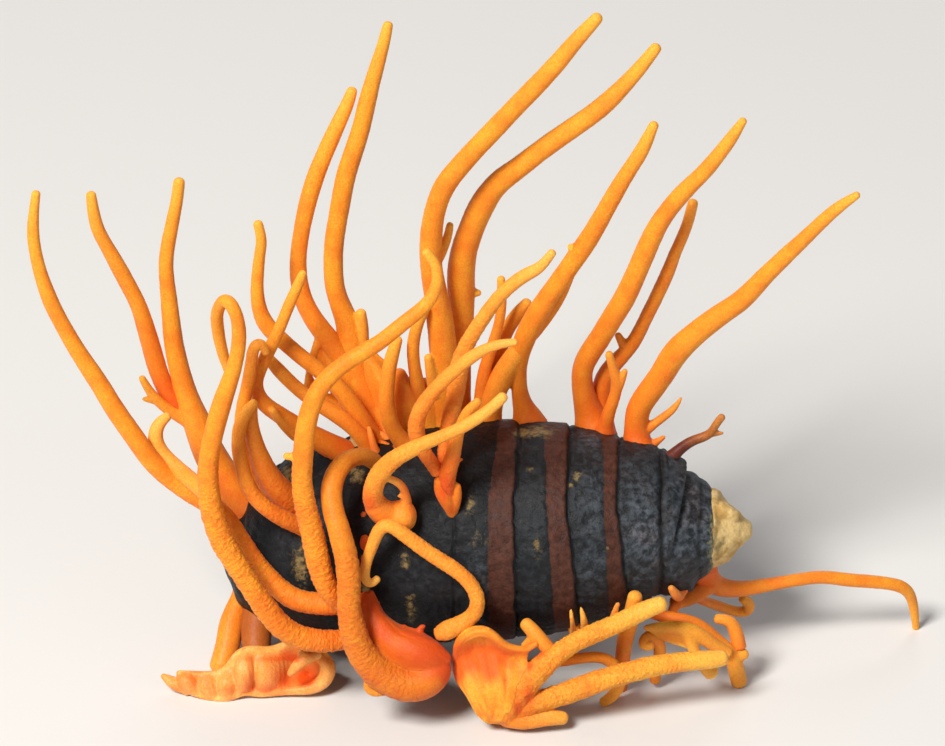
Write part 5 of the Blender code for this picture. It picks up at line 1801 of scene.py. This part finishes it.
@dataclass
class LowerRightTangle(Cluster):
    """The tangle at the lower right, with the clubs that point right."""

    seed: int = 220
    growths: tuple[Growth, ...] = (
        Growth("stub_front_right", Slot.CLUB, Skin.VELVET, (
            ((526, 624, 14, -6.4), (533, 631, 16, -6.6), (541, 641, 16, -6.9), (551, 651, 14, -7)),
            ((524, 646, 8, -6.8), (530, 640, 10, -6.8), (537, 637, 12, -6.8)),
        ), blush=0.4),
        Growth("club_right_low_long", Slot.CLUB, Skin.VELVET, (
            ((916, 629, 8, 2.1), (915, 617, 9, 2), (913, 604, 10, 1.9), (910, 594, 12, 1.7),
             (903, 587, 13, 1.5), (885, 583, 13, 1.2), (850, 580, 14, 0.8), (822, 577, 13, 0.5),
             (797, 580, 13, 0.2), (772, 584, 14, 0), (750, 588, 15, -0.3), (730, 589, 18, -0.7),
             (715, 585, 21, -1.1), (706, 576, 22, -1.4), (700, 566, 22, -1.5)),
            ((675, 603, 15, -1.9), (686, 598, 19, -1.8), (698, 592, 20, -1.6),
             (711, 582, 20, -1.3)),
            ((672, 615, 10, -2.3), (673, 606, 11, -2.1), (682, 598, 13, -1.9)),
        )),
        Growth("club_right_low_loop", Slot.CLUB, Skin.VELVET, (
            ((743, 599, 10, 0.9), (749, 602, 12, 1.1), (750, 609, 12, 1.3), (743, 613, 11, 1.4),
             (730, 610, 10, 1.2), (716, 605, 10, 0.6), (704, 601, 10, -0.1), (695, 597, 10, -0.8)),
        )),
        # Its strong red foot is partly painted shade, where the front clubs shade it.
        Growth("club_right_under", Slot.CLUB, Skin.VELVET, (
            ((635, 597, 16, -5.5), (633, 610, 17, -5.4), (628, 628, 17, -5.2), (624, 645, 16, -4.9),
             (622, 665, 15, -4.5), (621, 680, 14, -4.1), (620, 694, 12, -3.8)),
        ), blush=0.9),
        Growth("club_right_arch", Slot.CLUB, Skin.VELVET, (
            ((604, 702, 11, -5.4), (613, 696, 12, -5.5), (619, 687, 12, -5.6), (620, 675, 12, -5.7),
             (614, 664, 12, -5.8), (600, 657, 11, -6), (581, 658, 11, -6.3), (566, 660, 12, -6.35),
             (554, 661, 12, -6.35)),
        ), blush=0.3),
        Growth("club_right_bent", Slot.CLUB, Skin.VELVET, (
            ((739, 681, 18, -3.6), (736, 669, 18, -3.7), (733, 657, 17, -3.8), (724, 647, 15, -3.8),
             (712, 636, 14, -3.8), (700, 626, 14, -3.8), (686, 620, 13, -3.7), (670, 618, 13, -3.5),
             (655, 614, 13, -3.2), (644, 604, 14, -2.8), (636, 592, 14, -2.4)),
            ((744, 654, 13, -3.6), (733, 657, 14, -3.8)),
        )),
        Growth("club_right_small_hook", Slot.CLUB, Skin.VELVET, (
            ((718, 619, 11, -3.2), (728, 619, 12, -3.2), (734, 626, 14, -3.2), (737, 637, 15, -3.3),
             (739, 647, 15, -3.5)),
        ), blush=0.6),
        Growth("club_right_pale", Slot.PALE_CLUB, Skin.VELVET, (
            ((646, 628, 7, -4.8), (658, 627, 10, -4.8), (674, 627, 13, -4.7), (690, 630, 15, -4.6),
             (704, 638, 15, -4.5), (717, 647, 14, -4.3), (728, 653, 13, -4.2)),
            ((711, 672, 18, -5), (702, 663, 14, -5), (695, 653, 11, -4.9), (691, 642, 12, -4.8),
             (686, 631, 12, -4.7)),
            ((690, 646, 8, -4.6), (678, 641, 9, -4.5), (664, 637, 9, -4.6), (652, 630, 7, -4.8)),
        # Its lighter finish paints light on it.
        ), blush=0.4, finish=PAINTED_LIGHT_FLESH,
            sheets=(
                Sheet((
                    ((648, 627, 5, -4.8), (650, 630, 6, -4.8), (653, 632, 5, -4.8)),
                    ((664, 624, 9, -4.7), (664, 631, 9, -4.7), (665, 638, 8, -4.6)),
                    ((680, 624, 9, -4.7), (680, 633, 9, -4.6), (680, 642, 8, -4.5)),
                    ((696, 629, 9, -4.6), (694, 638, 9, -4.6), (692, 646, 8, -4.6)),
                ), red=0.2),
            )),
        Growth("club_right_coil", Slot.CLUB, Skin.VELVET, (
            ((651, 646, 9, -5.1), (643, 649, 11, -5.1), (642, 640, 11, -4.9), (650, 634, 11, -4.7),
             (658, 640, 12, -4.4), (660, 654, 12, -4.2), (657, 668, 12, -4), (655, 680, 11, -3.8)),
        ), blush=0.35),
    )


@dataclass
class LeftFoot(Cluster):
    """The ruffled lobe on the surface at the left, and its two stems."""

    seed: int = 240
    growths: tuple[Growth, ...] = (
        Growth("lobe_left_ruffled", Slot.PALE_CLUB, Skin.VELVET, (
            ((303, 642, 9, -3), (290, 644, 11, -3.4), (278, 650, 11, -3.6), (266, 652, 11, -3.8),
             (254, 651, 12, -3.9), (242, 652, 12, -4), (235, 659, 11, -4.1), (229, 669, 9, -4.2),
             (218, 674, 9, -4.3), (205, 675, 8, -4.3), (190, 674, 8, -4.2), (178, 674, 8, -4.1)),
            ((163, 676, 7, -4), (170, 681, 14, -4.2), (178, 686, 14, -4.3), (186, 690, 10, -4.4)),
            ((187, 694, 6, -4.6), (181, 688, 9, -4.5), (178, 680, 9, -4.2)),
            ((192, 693, 7, -4.7), (201, 695, 9, -4.8), (214, 698, 9, -4.9), (228, 699, 9, -5),
             (238, 694, 8, -4.9), (245, 691, 7, -4.8), (252, 693, 8, -4.8), (260, 694, 9, -4.8),
             (275, 692, 9, -4.7), (290, 691, 9, -4.7), (303, 690, 11, -4.7), (316, 687, 14, -4.7),
             (326, 679, 16, -4.6), (329, 668, 16, -4.4), (326, 659, 15, -4.2), (317, 654, 13, -3.9),
             (306, 652, 11, -3.7)),
            ((290, 674, 8, -5.3), (296, 667, 12, -5.3), (305, 658, 14, -5.1), (317, 653, 14, -4.6)),
            ((299, 655, 5, -4.9), (306, 649, 7, -4.6), (314, 647, 8, -4.3)),
        # Patches at (307, 679), (296, 659), (287, 654), (266, 659) and (251, 681) are painted
        # shade: the recess under the finger, the hollow between its prongs, the groove under the
        # rim and a dent.
        ), calm=(0, 1, 2, 3, 4, 5), calm_red=0.06, patches=(Patch(307, 679, 9, 9, 1.1),
            Patch(284, 680, 10, 12, 0.6), Patch(266, 659, 30, 3, 0.45), Patch(262, 690, 26, 5, 0.5),
            Patch(296, 659, 6, 4, 0.7), Patch(287, 654, 9, 6, 0.5), Patch(190, 680, 16, 6, 0.3),
            Patch(251, 681, 6, 9, 0.35), Patch(207, 684, 4, 8, 0.3), Patch(225, 690, 10, 5, 0.3),
            Patch(174, 690, 9, 5, 0.5)), cell=0.06 * MM, ease=9, finish=PALE_LOBE,
            sheets=(
                Sheet((
                    ((178, 674, 8, -4.1), (181, 684, 10, -4.3), (187, 692, 7, -4.5)),
                    ((187, 674, 8, -4.15), (188, 682, 13, -4.6), (194, 693, 8, -4.7)),
                    ((197, 674, 8, -4.25), (198, 684, 8, -4.35), (202, 696, 8, -4.8)),
                    ((208, 675, 8, -4.3), (208, 686, 14, -4.75), (212, 698, 9, -4.9)),
                    ((217, 674, 8, -4.3), (217, 684, 9, -4.45), (220, 698, 8, -4.9)),
                    ((226, 671, 8, -4.2), (226, 685, 15, -4.85), (229, 698, 9, -5)),
                    ((235, 660, 9, -4.1), (236, 680, 10, -4.5), (238, 694, 8, -4.9)),
                    ((244, 652, 10, -4), (244, 672, 16, -4.85), (246, 690, 9, -4.9)),
                    ((253, 651, 10, -3.9), (253, 668, 10, -4.3), (252, 682, 8, -4.3),
                     (253, 692, 7, -4.75)),
                    ((263, 652, 10, -3.85), (263, 672, 15, -4.6), (264, 692, 8, -4.75)),
                    ((274, 651, 9, -3.7), (275, 672, 12, -4.3), (275, 692, 7, -4.65)),
                    ((285, 647, 8, -3.5), (287, 672, 9, -3.7), (288, 691, 7, -4.5)),
                    ((297, 645, 8, -3.4), (300, 672, 8, -3.35), (300, 690, 8, -4.4)),
                    ((308, 652, 7, -3.5), (312, 674, 8, -3.2), (312, 688, 8, -4.4)),
                    ((322, 657, 7, -4), (325, 670, 7, -3.9), (322, 682, 8, -4.5)),
                ), red=0.24, ribs=72),
            )),
        Growth("stem_left_outer", Slot.LOBE, Skin.VELVET, (
            ((222, 666, 27, -2.1), (228, 645, 26, -1.4), (231, 625, 26, -0.6), (235, 611, 22, -0.1),
             (238, 600, 17, 0.4), (243, 590, 12, 1)),
        ), blush=0.3),
        # Its dark finish is partly painted shade between the two stems.
        Growth("stem_left_inner", Slot.LOBE, Skin.VELVET, (
            ((257, 650, 30, -2.2), (256, 632, 32, -1.4), (259, 614, 33, -0.5), (269, 597, 30, 0.3)),
        ), blush=0.5, finish=PAINTED_SHADE_STEM_FLESH),
    )


@dataclass
class RearStubs(Cluster):
    """The two short growths that prop the husk from behind."""

    seed: int = 260
    growths: tuple[Growth, ...] = (
        Growth("stub_rear_left", Slot.CLUB, Skin.VELVET, (
            ((330, 604, 22, 5.2), (332, 582, 24, 4.5), (337, 556, 26, 3.4)),
        )),
        Growth("stub_rear_right", Slot.CLUB, Skin.VELVET, (
            ((590, 600, 20, 4.6), (588, 578, 22, 3.9), (583, 556, 24, 3)),
        )),
    )


@dataclass
class Sprouts(Cluster):
    """Tufts, spikes and nubs that stand on the husk between the clubs."""

    seed: int = 280
    growths: tuple[Growth, ...] = (
        Growth("spikes_front", Slot.PALE_CLUB, Skin.VELVET, (
            ((571, 610, 2.5, -5.9), (572, 620, 4.5, -6), (574, 636, 6, -5)),
            ((581, 608, 2.5, -5.9), (584, 620, 7, -6), (585, 636, 9, -5)),
        ), nodes=(), blush=0.2),
        Growth("spikes_top", Slot.CLUB, Skin.VELVET, (
            ((369, 428, 6, 0.4), (372, 440, 7, 0), (377, 458, 7, -0.4)),
            ((373, 429, 3, 1.2), (380, 433, 5, 1), (391, 441, 6, 0.8)),
            ((376, 440, 3, 0.8), (385, 446, 6, 0.3), (400, 454, 7, -0.4)),
        ), nodes=()),
        Growth("nubs_left", Slot.LOBE, Skin.VELVET, (
            ((364, 514, 3, -3.4), (364, 518, 5, -3.3), (363, 523, 4, -3.3)),
            ((365, 538, 4, -4.2), (365, 544, 5, -4.2), (365, 551, 4, -4.2)),
            ((364, 557, 4, -4.5), (366, 562, 5, -4.5), (365, 568, 4, -4.5)),
        ), nodes=()),
        Growth("buds_right", Slot.PALE_CLUB, Skin.VELVET, (
            ((671, 588, 4, -4.3), (674, 592, 7, -4.2), (678, 598, 8, -3.8)),
            ((618, 604, 4, -5.3), (615, 611, 6, -5.3), (612, 622, 7, -4.9)),
        ), nodes=()),
        Growth("tuft_top", Slot.CRUST, Skin.PITTED, (
            ((359, 431, 9, 1.6), (357, 440, 15, 1.4), (357, 452, 16, 1.2)),
            ((365, 437, 8, 1.4), (364, 448, 12, 1.1)),
        ), nodes=()),
    )


# -------------------------------------------------------------------------- the husk


@dataclass(frozen=True)
class Band:
    """A brown membrane between two rings of the husk, and the groove on its right."""

    column: float
    halves: tuple[float, float, float]  # half width in columns below, at the side, on top
    shifts: tuple[float, float, float]  # columns it moves by below, at the side, on top


@dataclass(frozen=True)
class Groove:
    """A thin dark groove round the husk."""

    column: float
    half: float  # half its width, in columns
    depth: float  # in metres


@dataclass
class Husk:
    """The dark ringed husk.

    Its arrays have one row for each ring, and one column for each side, whose sine is 1
    on top and -1 below.
    """

    rings: int = 330
    sides: int = 288
    reach: tuple[float, float] = (223.0, 719.0)  # its first and its last column
    bands: tuple[Band, ...] = (
        Band(500, (8.5, 12.0, 13.0), (8, 0, 1)),
        Band(554, (12.0, 9.2, 11.5), (1, 0, 11)),
        Band(607, (7.5, 6.0, 8.5), (2, 0, 9)),
    )
    heights: tuple[float, float, float] = (-1.0, -0.25, 0.9)  # sines of below, side, top
    grooves: tuple[Groove, ...] = (
        Groove(454, 1.2, 0.10 * MM), Groove(658, 2.8, 0.17 * MM), Groove(697, 2.4, 0.10 * MM),
        Groove(665, 1.6, 0.04 * MM),
    )
    first_step: float = 330.0  # column where the first overlap starts
    last_step: float = 657.0  # and where the last one starts
    overlap: float = 0.17 * MM  # how far a ring's front edge lies below the one before
    lip: float = 0.13 * MM  # depth of the seam on a band's right
    ridges: float = 0.055 * MM  # height of the ridged crumple
    bumps: float = 0.035 * MM  # height of the fine crumple
    creases: float = 0.045 * MM  # height of the crumple in even cells round the husk
    lowered: float = 0.03 * MM  # what the crumple is lowered by
    stains: tuple[Patch, ...] = (
        Patch(577, 476, 5, 4), Patch(571, 485, 4, 3), Patch(520, 433, 9, 5, 0.9),
        Patch(540, 431, 16, 6, 0.9), Patch(301, 566, 8, 22, 0.85), Patch(405, 560, 7, 11, 0.7),
        Patch(411, 608, 5, 16, 0.8), Patch(358, 475, 9, 9, 0.9), Patch(470, 505, 5, 9, 0.8),
        Patch(537, 545, 5, 13, 0.7), Patch(478, 540, 9, 8, 0.5), Patch(529, 470, 5, 4, 0.6),
        Patch(365, 590, 6, 9, 1.0), Patch(288, 475, 8, 12, 0.9), Patch(608, 548, 1.5, 1.5, 1.2),
        Patch(238, 545, 5, 22, 0.6),
    )
    # where the blue-grey dust lies, which also paints a sheen: most on the right, the tail and the
    # top
    bloom_and_sheen_patches: tuple[Patch, ...] = (
        Patch(642, 520, 30, 80, 0.95), Patch(688, 520, 26, 70, 1.2), Patch(701, 510, 12, 60, 1.3),
        Patch(590, 530, 20, 85, 0.62), Patch(535, 530, 18, 85, 0.32), Patch(480, 595, 16, 50, 0.6),
        Patch(430, 575, 50, 24, 0.2), Patch(285, 545, 30, 50, 0.1), Patch(590, 440, 16, 12, 0.7),
        Patch(400, 470, 40, 40, 0.1),
    )
    pieces: list[bpy.types.Object] = field(default_factory=list)

    def seams(
        self, ring: np.ndarray, side: np.ndarray, flat: np.ndarray, noise: SoftNoise
    ) -> tuple[np.ndarray, np.ndarray, np.ndarray]:
        """The bands, the seams and how deep the shell sinks at them.

        A seam is the bell exp(-((column - its own) / width)^2), and its depth is sunk
        under it.  From each step to the next the shell rises again from the overlap:
        overlap * (1 - share of the way)^1.6.

        Args:
            ring: Column of each point.
            side: Sine of each point's angle.
            flat: The points of the plain husk.
            noise: Makes edges and grooves wander.

        Returns:
            Band cover, seam cover and depth in metres.
        """
        band, seam, sink = (np.zeros_like(ring) for _ in range(3))
        edges = [np.full_like(ring, self.first_step)]
        for one in self.bands:
            shift = np.interp(side, self.heights, one.shifts)
            half = np.interp(side, self.heights, one.halves)
            wander = 1.3 * noise.at(flat / (0.8 * MM)).reshape(ring.shape)
            off = ring - one.column - shift + wander
            lip = np.exp(-(((off - half - 1.2) / 1.5) ** 2))
            band = np.maximum(band, eased(half - np.abs(off), -3.0, 3.0))
            seam = np.maximum(seam, lip)
            sink += self.lip * lip
            edges.append(ring - off + half + 1.2)
        for groove in self.grooves:
            cells = np.stack([ring / 60, side * 3, np.zeros_like(ring)], -1).reshape(-1, 3)
            wander = 2.2 * noise.at(cells).reshape(ring.shape)
            notch = np.exp(-(((ring - groove.column - wander) / groove.half) ** 2))
            seam = np.maximum(seam, notch * min(1.0, groove.depth / (0.15 * MM)))
            sink += groove.depth * notch
        edges.append(np.full_like(ring, self.last_step))
        for start, end in zip(edges[:-1], edges[1:]):
            share = (ring - start) / (end - start)
            rise = np.clip(1 - share, 0, 1) ** 1.6
            sink += self.overlap * np.where((share >= 0) & (share < 1), rise, 0.0)
        return band, seam, sink

    def crumple(
        self, ring: np.ndarray, angle: np.ndarray, flat: np.ndarray, band: np.ndarray,
        noise: SoftNoise,
    ) -> np.ndarray:
        """The crumple between the seams, weaker on the bands.

        It is 1 - 2 * |noise| on the place, finer noise, and 1 - 2.2 * |noise| on
        (column / 9, 9 cos angle, 9 sin angle), each times its height.

        Args:
            ring: Column of each point.
            angle: Angle of each point round the husk.
            flat: The points of the plain husk.
            band: Band cover.
            noise: The noise.

        Returns:
            Height in metres.
        """
        ridged = 1.0 - 2.0 * np.abs(noise.layered(flat / (0.9 * MM), 3)).reshape(ring.shape)
        fine = noise.layered(flat / (0.4 * MM) + 9.0, 2).reshape(ring.shape)
        cells = np.stack([ring / 9, np.cos(angle) * 9, np.sin(angle) * 9], -1).reshape(-1, 3)
        creased = 1.0 - 2.2 * np.abs(noise.layered(cells, 3)).reshape(ring.shape)
        dark = 1.0 - 0.7 * band
        height = self.ridges * ridged * dark + self.bumps * fine + self.creases * creased * dark
        return height - self.lowered

    def mark_shell(
        self, mesh: bpy.types.Mesh, ring: np.ndarray, side: np.ndarray, band: np.ndarray,
        seam: np.ndarray,
    ) -> None:
        """Keep on the mesh where its bands, seams, stains, dust with its painted sheen, and crusted
        end are.

        Args:
            mesh: The shell's mesh: its rings, then its two poles.
            ring: Column of each point.
            side: Sine of each point's angle.
            band: Band cover.
            seam: Seam cover.
        """
        seen_at = VIEW.seen(points_of(mesh))
        facing = eased(normals_of(mesh) @ VIEW.axes()[2], 0.0, 0.3)
        band, seam = (np.append(layer.ravel(), [0.0, 0.0]) for layer in (band, seam))
        mark(mesh, "band", band)
        mark(mesh, "seam", np.clip(seam * 0.95, 0, 1))
        stain = sum(patch.over(*seen_at) for patch in self.stains)
        mark(mesh, "stain", np.clip(stain, 0, 1.2) * facing)
        # The dust and its painted sheen: patches on the front, a lighter cover on the back, less on
        # the bands.
        bloom_and_sheen = sum(patch.over(*seen_at) for patch in self.bloom_and_sheen_patches)
        behind = 0.45 * (1 - facing)
        mark(mesh, "bloom_and_sheen", np.clip(bloom_and_sheen * facing + behind, 0, 1) * (1 - band * 0.6))
        creep = eased(ring, 697, 717) * (1 - 0.5 * eased(-side, 0.1, 0.7))
        mark(mesh, "creep", np.append(creep.ravel(), [0.0, 1.0]))

    def build(self) -> None:
        """Build the husk: rings round its axis, sunk at the seams, crumpled between them."""
        columns = np.linspace(*self.reach, self.rings)
        rows = HUSK_AXIS.at(columns)
        rows[:, 0] += np.maximum(columns - HUSK_AXIS.knots[-1][0], 0.0) * VIEW.pitch
        rows[:, 3] *= 1.0 - 0.4 * eased(columns, 706.0, 722.0)
        angles = np.linspace(0.0, 2 * math.pi, self.sides, endpoint=False)
        angle = np.tile(angles, (self.rings, 1))
        side = np.sin(angle)
        radii = np.repeat(rows[:, 3:4], self.sides, axis=1)
        poles = np.vstack([rows[0, :3] - [0.12 * MM, 0.0, 0.0], rows[-1, :3]])
        flat = tube(rows, radii, poles).points[:-2]
        across = (flat[:, 0] - VIEW.husk_middle[0]) / VIEW.pitch
        ring = (VIEW.husk_centre[0] + across).reshape(angle.shape)
        noise = SoftNoise(11)
        band, seam, sink = self.seams(ring, side, flat, noise)
        height = self.crumple(ring, angle, flat, band, noise)
        ends = eased(ring, 224, 250) * (1 - eased(ring, 706, 718))
        mesh = tube(rows, radii - sink + height * ends, poles).as_mesh("pupa_husk_shell")
        self.mark_shell(mesh, ring, side, band, seam)
        self.pieces.append(hand_over(mesh, "husk_shell", Slot.HUSK, "pupa_husk"))

    def dress(self) -> None:
        """Give the husk its shell finish."""
        self.pieces[0].data.materials.append(HUSK_SHELL.material())


@dataclass
class TailCrust:
    """The pale, lumpy growth on the husk's tail tip."""

    lines: tuple[Line, ...] = (
        (
            (747, 530, 20, -1.34), (743, 530, 31, -1.32), (738, 530, 40, -1.30),
            (731, 530, 52, -1.27), (725, 531, 62, -1.23), (719, 531, 73, -1.19),
            (712, 530, 86, -1.15), (706, 529, 88, -1.12), (700, 529, 76, -1.09),
        ),
        ((736, 516, 12, -1.8), (728, 512, 16, -1.8), (719, 509, 18, -1.7)),
    )
    sides: int = 40
    step: float = 0.15 * MM  # distance between two rings of a bar
    cell: float = 0.09 * MM  # how finely the bars are grown together
    ease: int = 14  # how often the skin is smoothed
    lump: float = 0.08 * MM  # height of the lumps
    lump_size: float = 0.8 * MM
    crumb: float = 0.045 * MM  # height of the crumbs
    crumb_size: float = 0.26 * MM
    low: Patch = Patch(720, 548, 10, 20, 0.5)  # where it is darker below: painted shade on its underside
    pieces: list[bpy.types.Object] = field(default_factory=list)

    def build(self) -> None:
        """Build the crust: its bars grown together, then lumps and crumbs of noise."""
        shells = []
        for line in self.lines:
            rows = rounded(spaced(smooth_line(VIEW.placed(line)), self.step), 0.6)
            radii = np.repeat(rows[:, 3:4], self.sides, axis=1)
            tip = rows[0, :3] + (rows[0, :3] - rows[1, :3]) * 0.4
            shells.append(tube(rows, radii, np.vstack([tip, rows[-1, :3]])))
        mesh = grown_together("tail_crust_skin", shells, self.cell, self.ease)
        points, normals = points_of(mesh), normals_of(mesh)
        noise = SoftNoise(23)
        height = self.lump * noise.layered(points / self.lump_size, 2)
        height += self.crumb * noise.layered(points / self.crumb_size, 2)
        points += normals * height[:, None]
        move_points(mesh, points)
        columns, rows = VIEW.seen(points)
        # The grey-olive edge on the left, and painted shade on the crust's lower side.
        edge_and_shade = 1 - eased(columns, 702, 718) + self.low.over(columns, rows)
        mark(mesh, "edge_and_shade", np.clip(edge_and_shade, 0, 1))
        self.pieces.append(hand_over(mesh, "tail_crust_skin", Slot.CRUST, "tail_crust"))

    def dress(self) -> None:
        """Give the crust its finish."""
        self.pieces[0].data.materials.append(TAIL_CRUST.material())


# ------------------------------------------------------------------------- the studio


@dataclass(frozen=True)
class Lamp:
    """A square soft light that faces the bunch."""

    name: str
    place: tuple[float, float, float]
    size: float
    power: float  # watts
    colour: Colour

    AIM = Vector((0.0, 0.0, 0.012))  # the middle of the bunch

    def build(self) -> None:
        """Hang the light."""
        data = bpy.data.lights.new(self.name, "AREA")
        data.size = self.size
        data.energy = self.power
        data.color = self.colour
        obj = bpy.data.objects.new(self.name, data)
        obj.location = self.place
        obj.rotation_euler = (self.AIM - obj.location).to_track_quat("-Z", "Y").to_euler()
        bpy.context.scene.collection.objects.link(obj)


@dataclass
class Studio:
    """The pale floor, the soft lights and the camera."""

    floor_size: float = 3.0
    floor_colour: Colour = (0.70, 0.69, 0.675)
    floor_roughness: float = 0.8
    air: Colour = (0.93, 0.95, 1.0)
    air_strength: float = 0.165
    lamps: tuple[Lamp, ...] = (
        Lamp("key", (-0.20, -0.27, 0.38), 0.15, 3.55, (1.0, 0.97, 0.92)),
        Lamp("fill", (0.35, -0.35, 0.2), 0.3, 0.3, (0.92, 0.96, 1.0)),
        Lamp("rim", (0.1, 0.4, 0.3), 0.25, 0.5, (1.0, 1.0, 1.0)),
    )

    def floor(self) -> None:
        """Lay a plain pale floor under the bunch."""
        half = self.floor_size / 2
        corners = [(-half, -half, 0), (half, -half, 0), (half, half, 0), (-half, half, 0)]
        mesh = bpy.data.meshes.new("floor")
        mesh.from_pydata(corners, [], [(0, 1, 2, 3)])
        obj = bpy.data.objects.new("floor", mesh)
        bpy.context.scene.collection.objects.link(obj)
        made = bpy.data.materials.new("floor_paper")
        made.use_nodes = True
        shader = made.node_tree.nodes["Principled BSDF"]
        shader.inputs["Base Color"].default_value = (*self.floor_colour, 1.0)
        shader.inputs["Roughness"].default_value = self.floor_roughness
        mesh.materials.append(made)

    def build(self) -> None:
        """Set up the floor, the air, the lights and the camera."""
        self.floor()
        world = bpy.data.worlds.new("studio_air")
        world.use_nodes = True
        air = world.node_tree.nodes["Background"]
        air.inputs["Color"].default_value = (*self.air, 1.0)
        air.inputs["Strength"].default_value = self.air_strength
        scene = bpy.context.scene
        scene.world = world
        scene.view_settings.view_transform = "Standard"
        for lamp in self.lamps:
            lamp.build()
        scene.camera = VIEW.camera()


def main() -> None:
    """Build the bunch around the frame, then the studio."""
    logging.basicConfig(level=logging.INFO, format="%(message)s")
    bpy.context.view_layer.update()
    assemblies = (
        Husk(), TailCrust(), FrontMasses(), FrontClubs(), LeftClubs(), RearFan(),
        CentreClubs(), RightFan(), LowerRightTangle(), LeftFoot(), RearStubs(), Sprouts(),
    )
    for assembly in assemblies:
        assembly.build()
        assembly.dress()
        kind = type(assembly).__name__
        for piece in assembly.pieces:
            LOG.info("%s: %s, %d faces", kind, piece.name, len(piece.data.polygons))
    Studio().build()


if __name__ == "__main__":
    main()
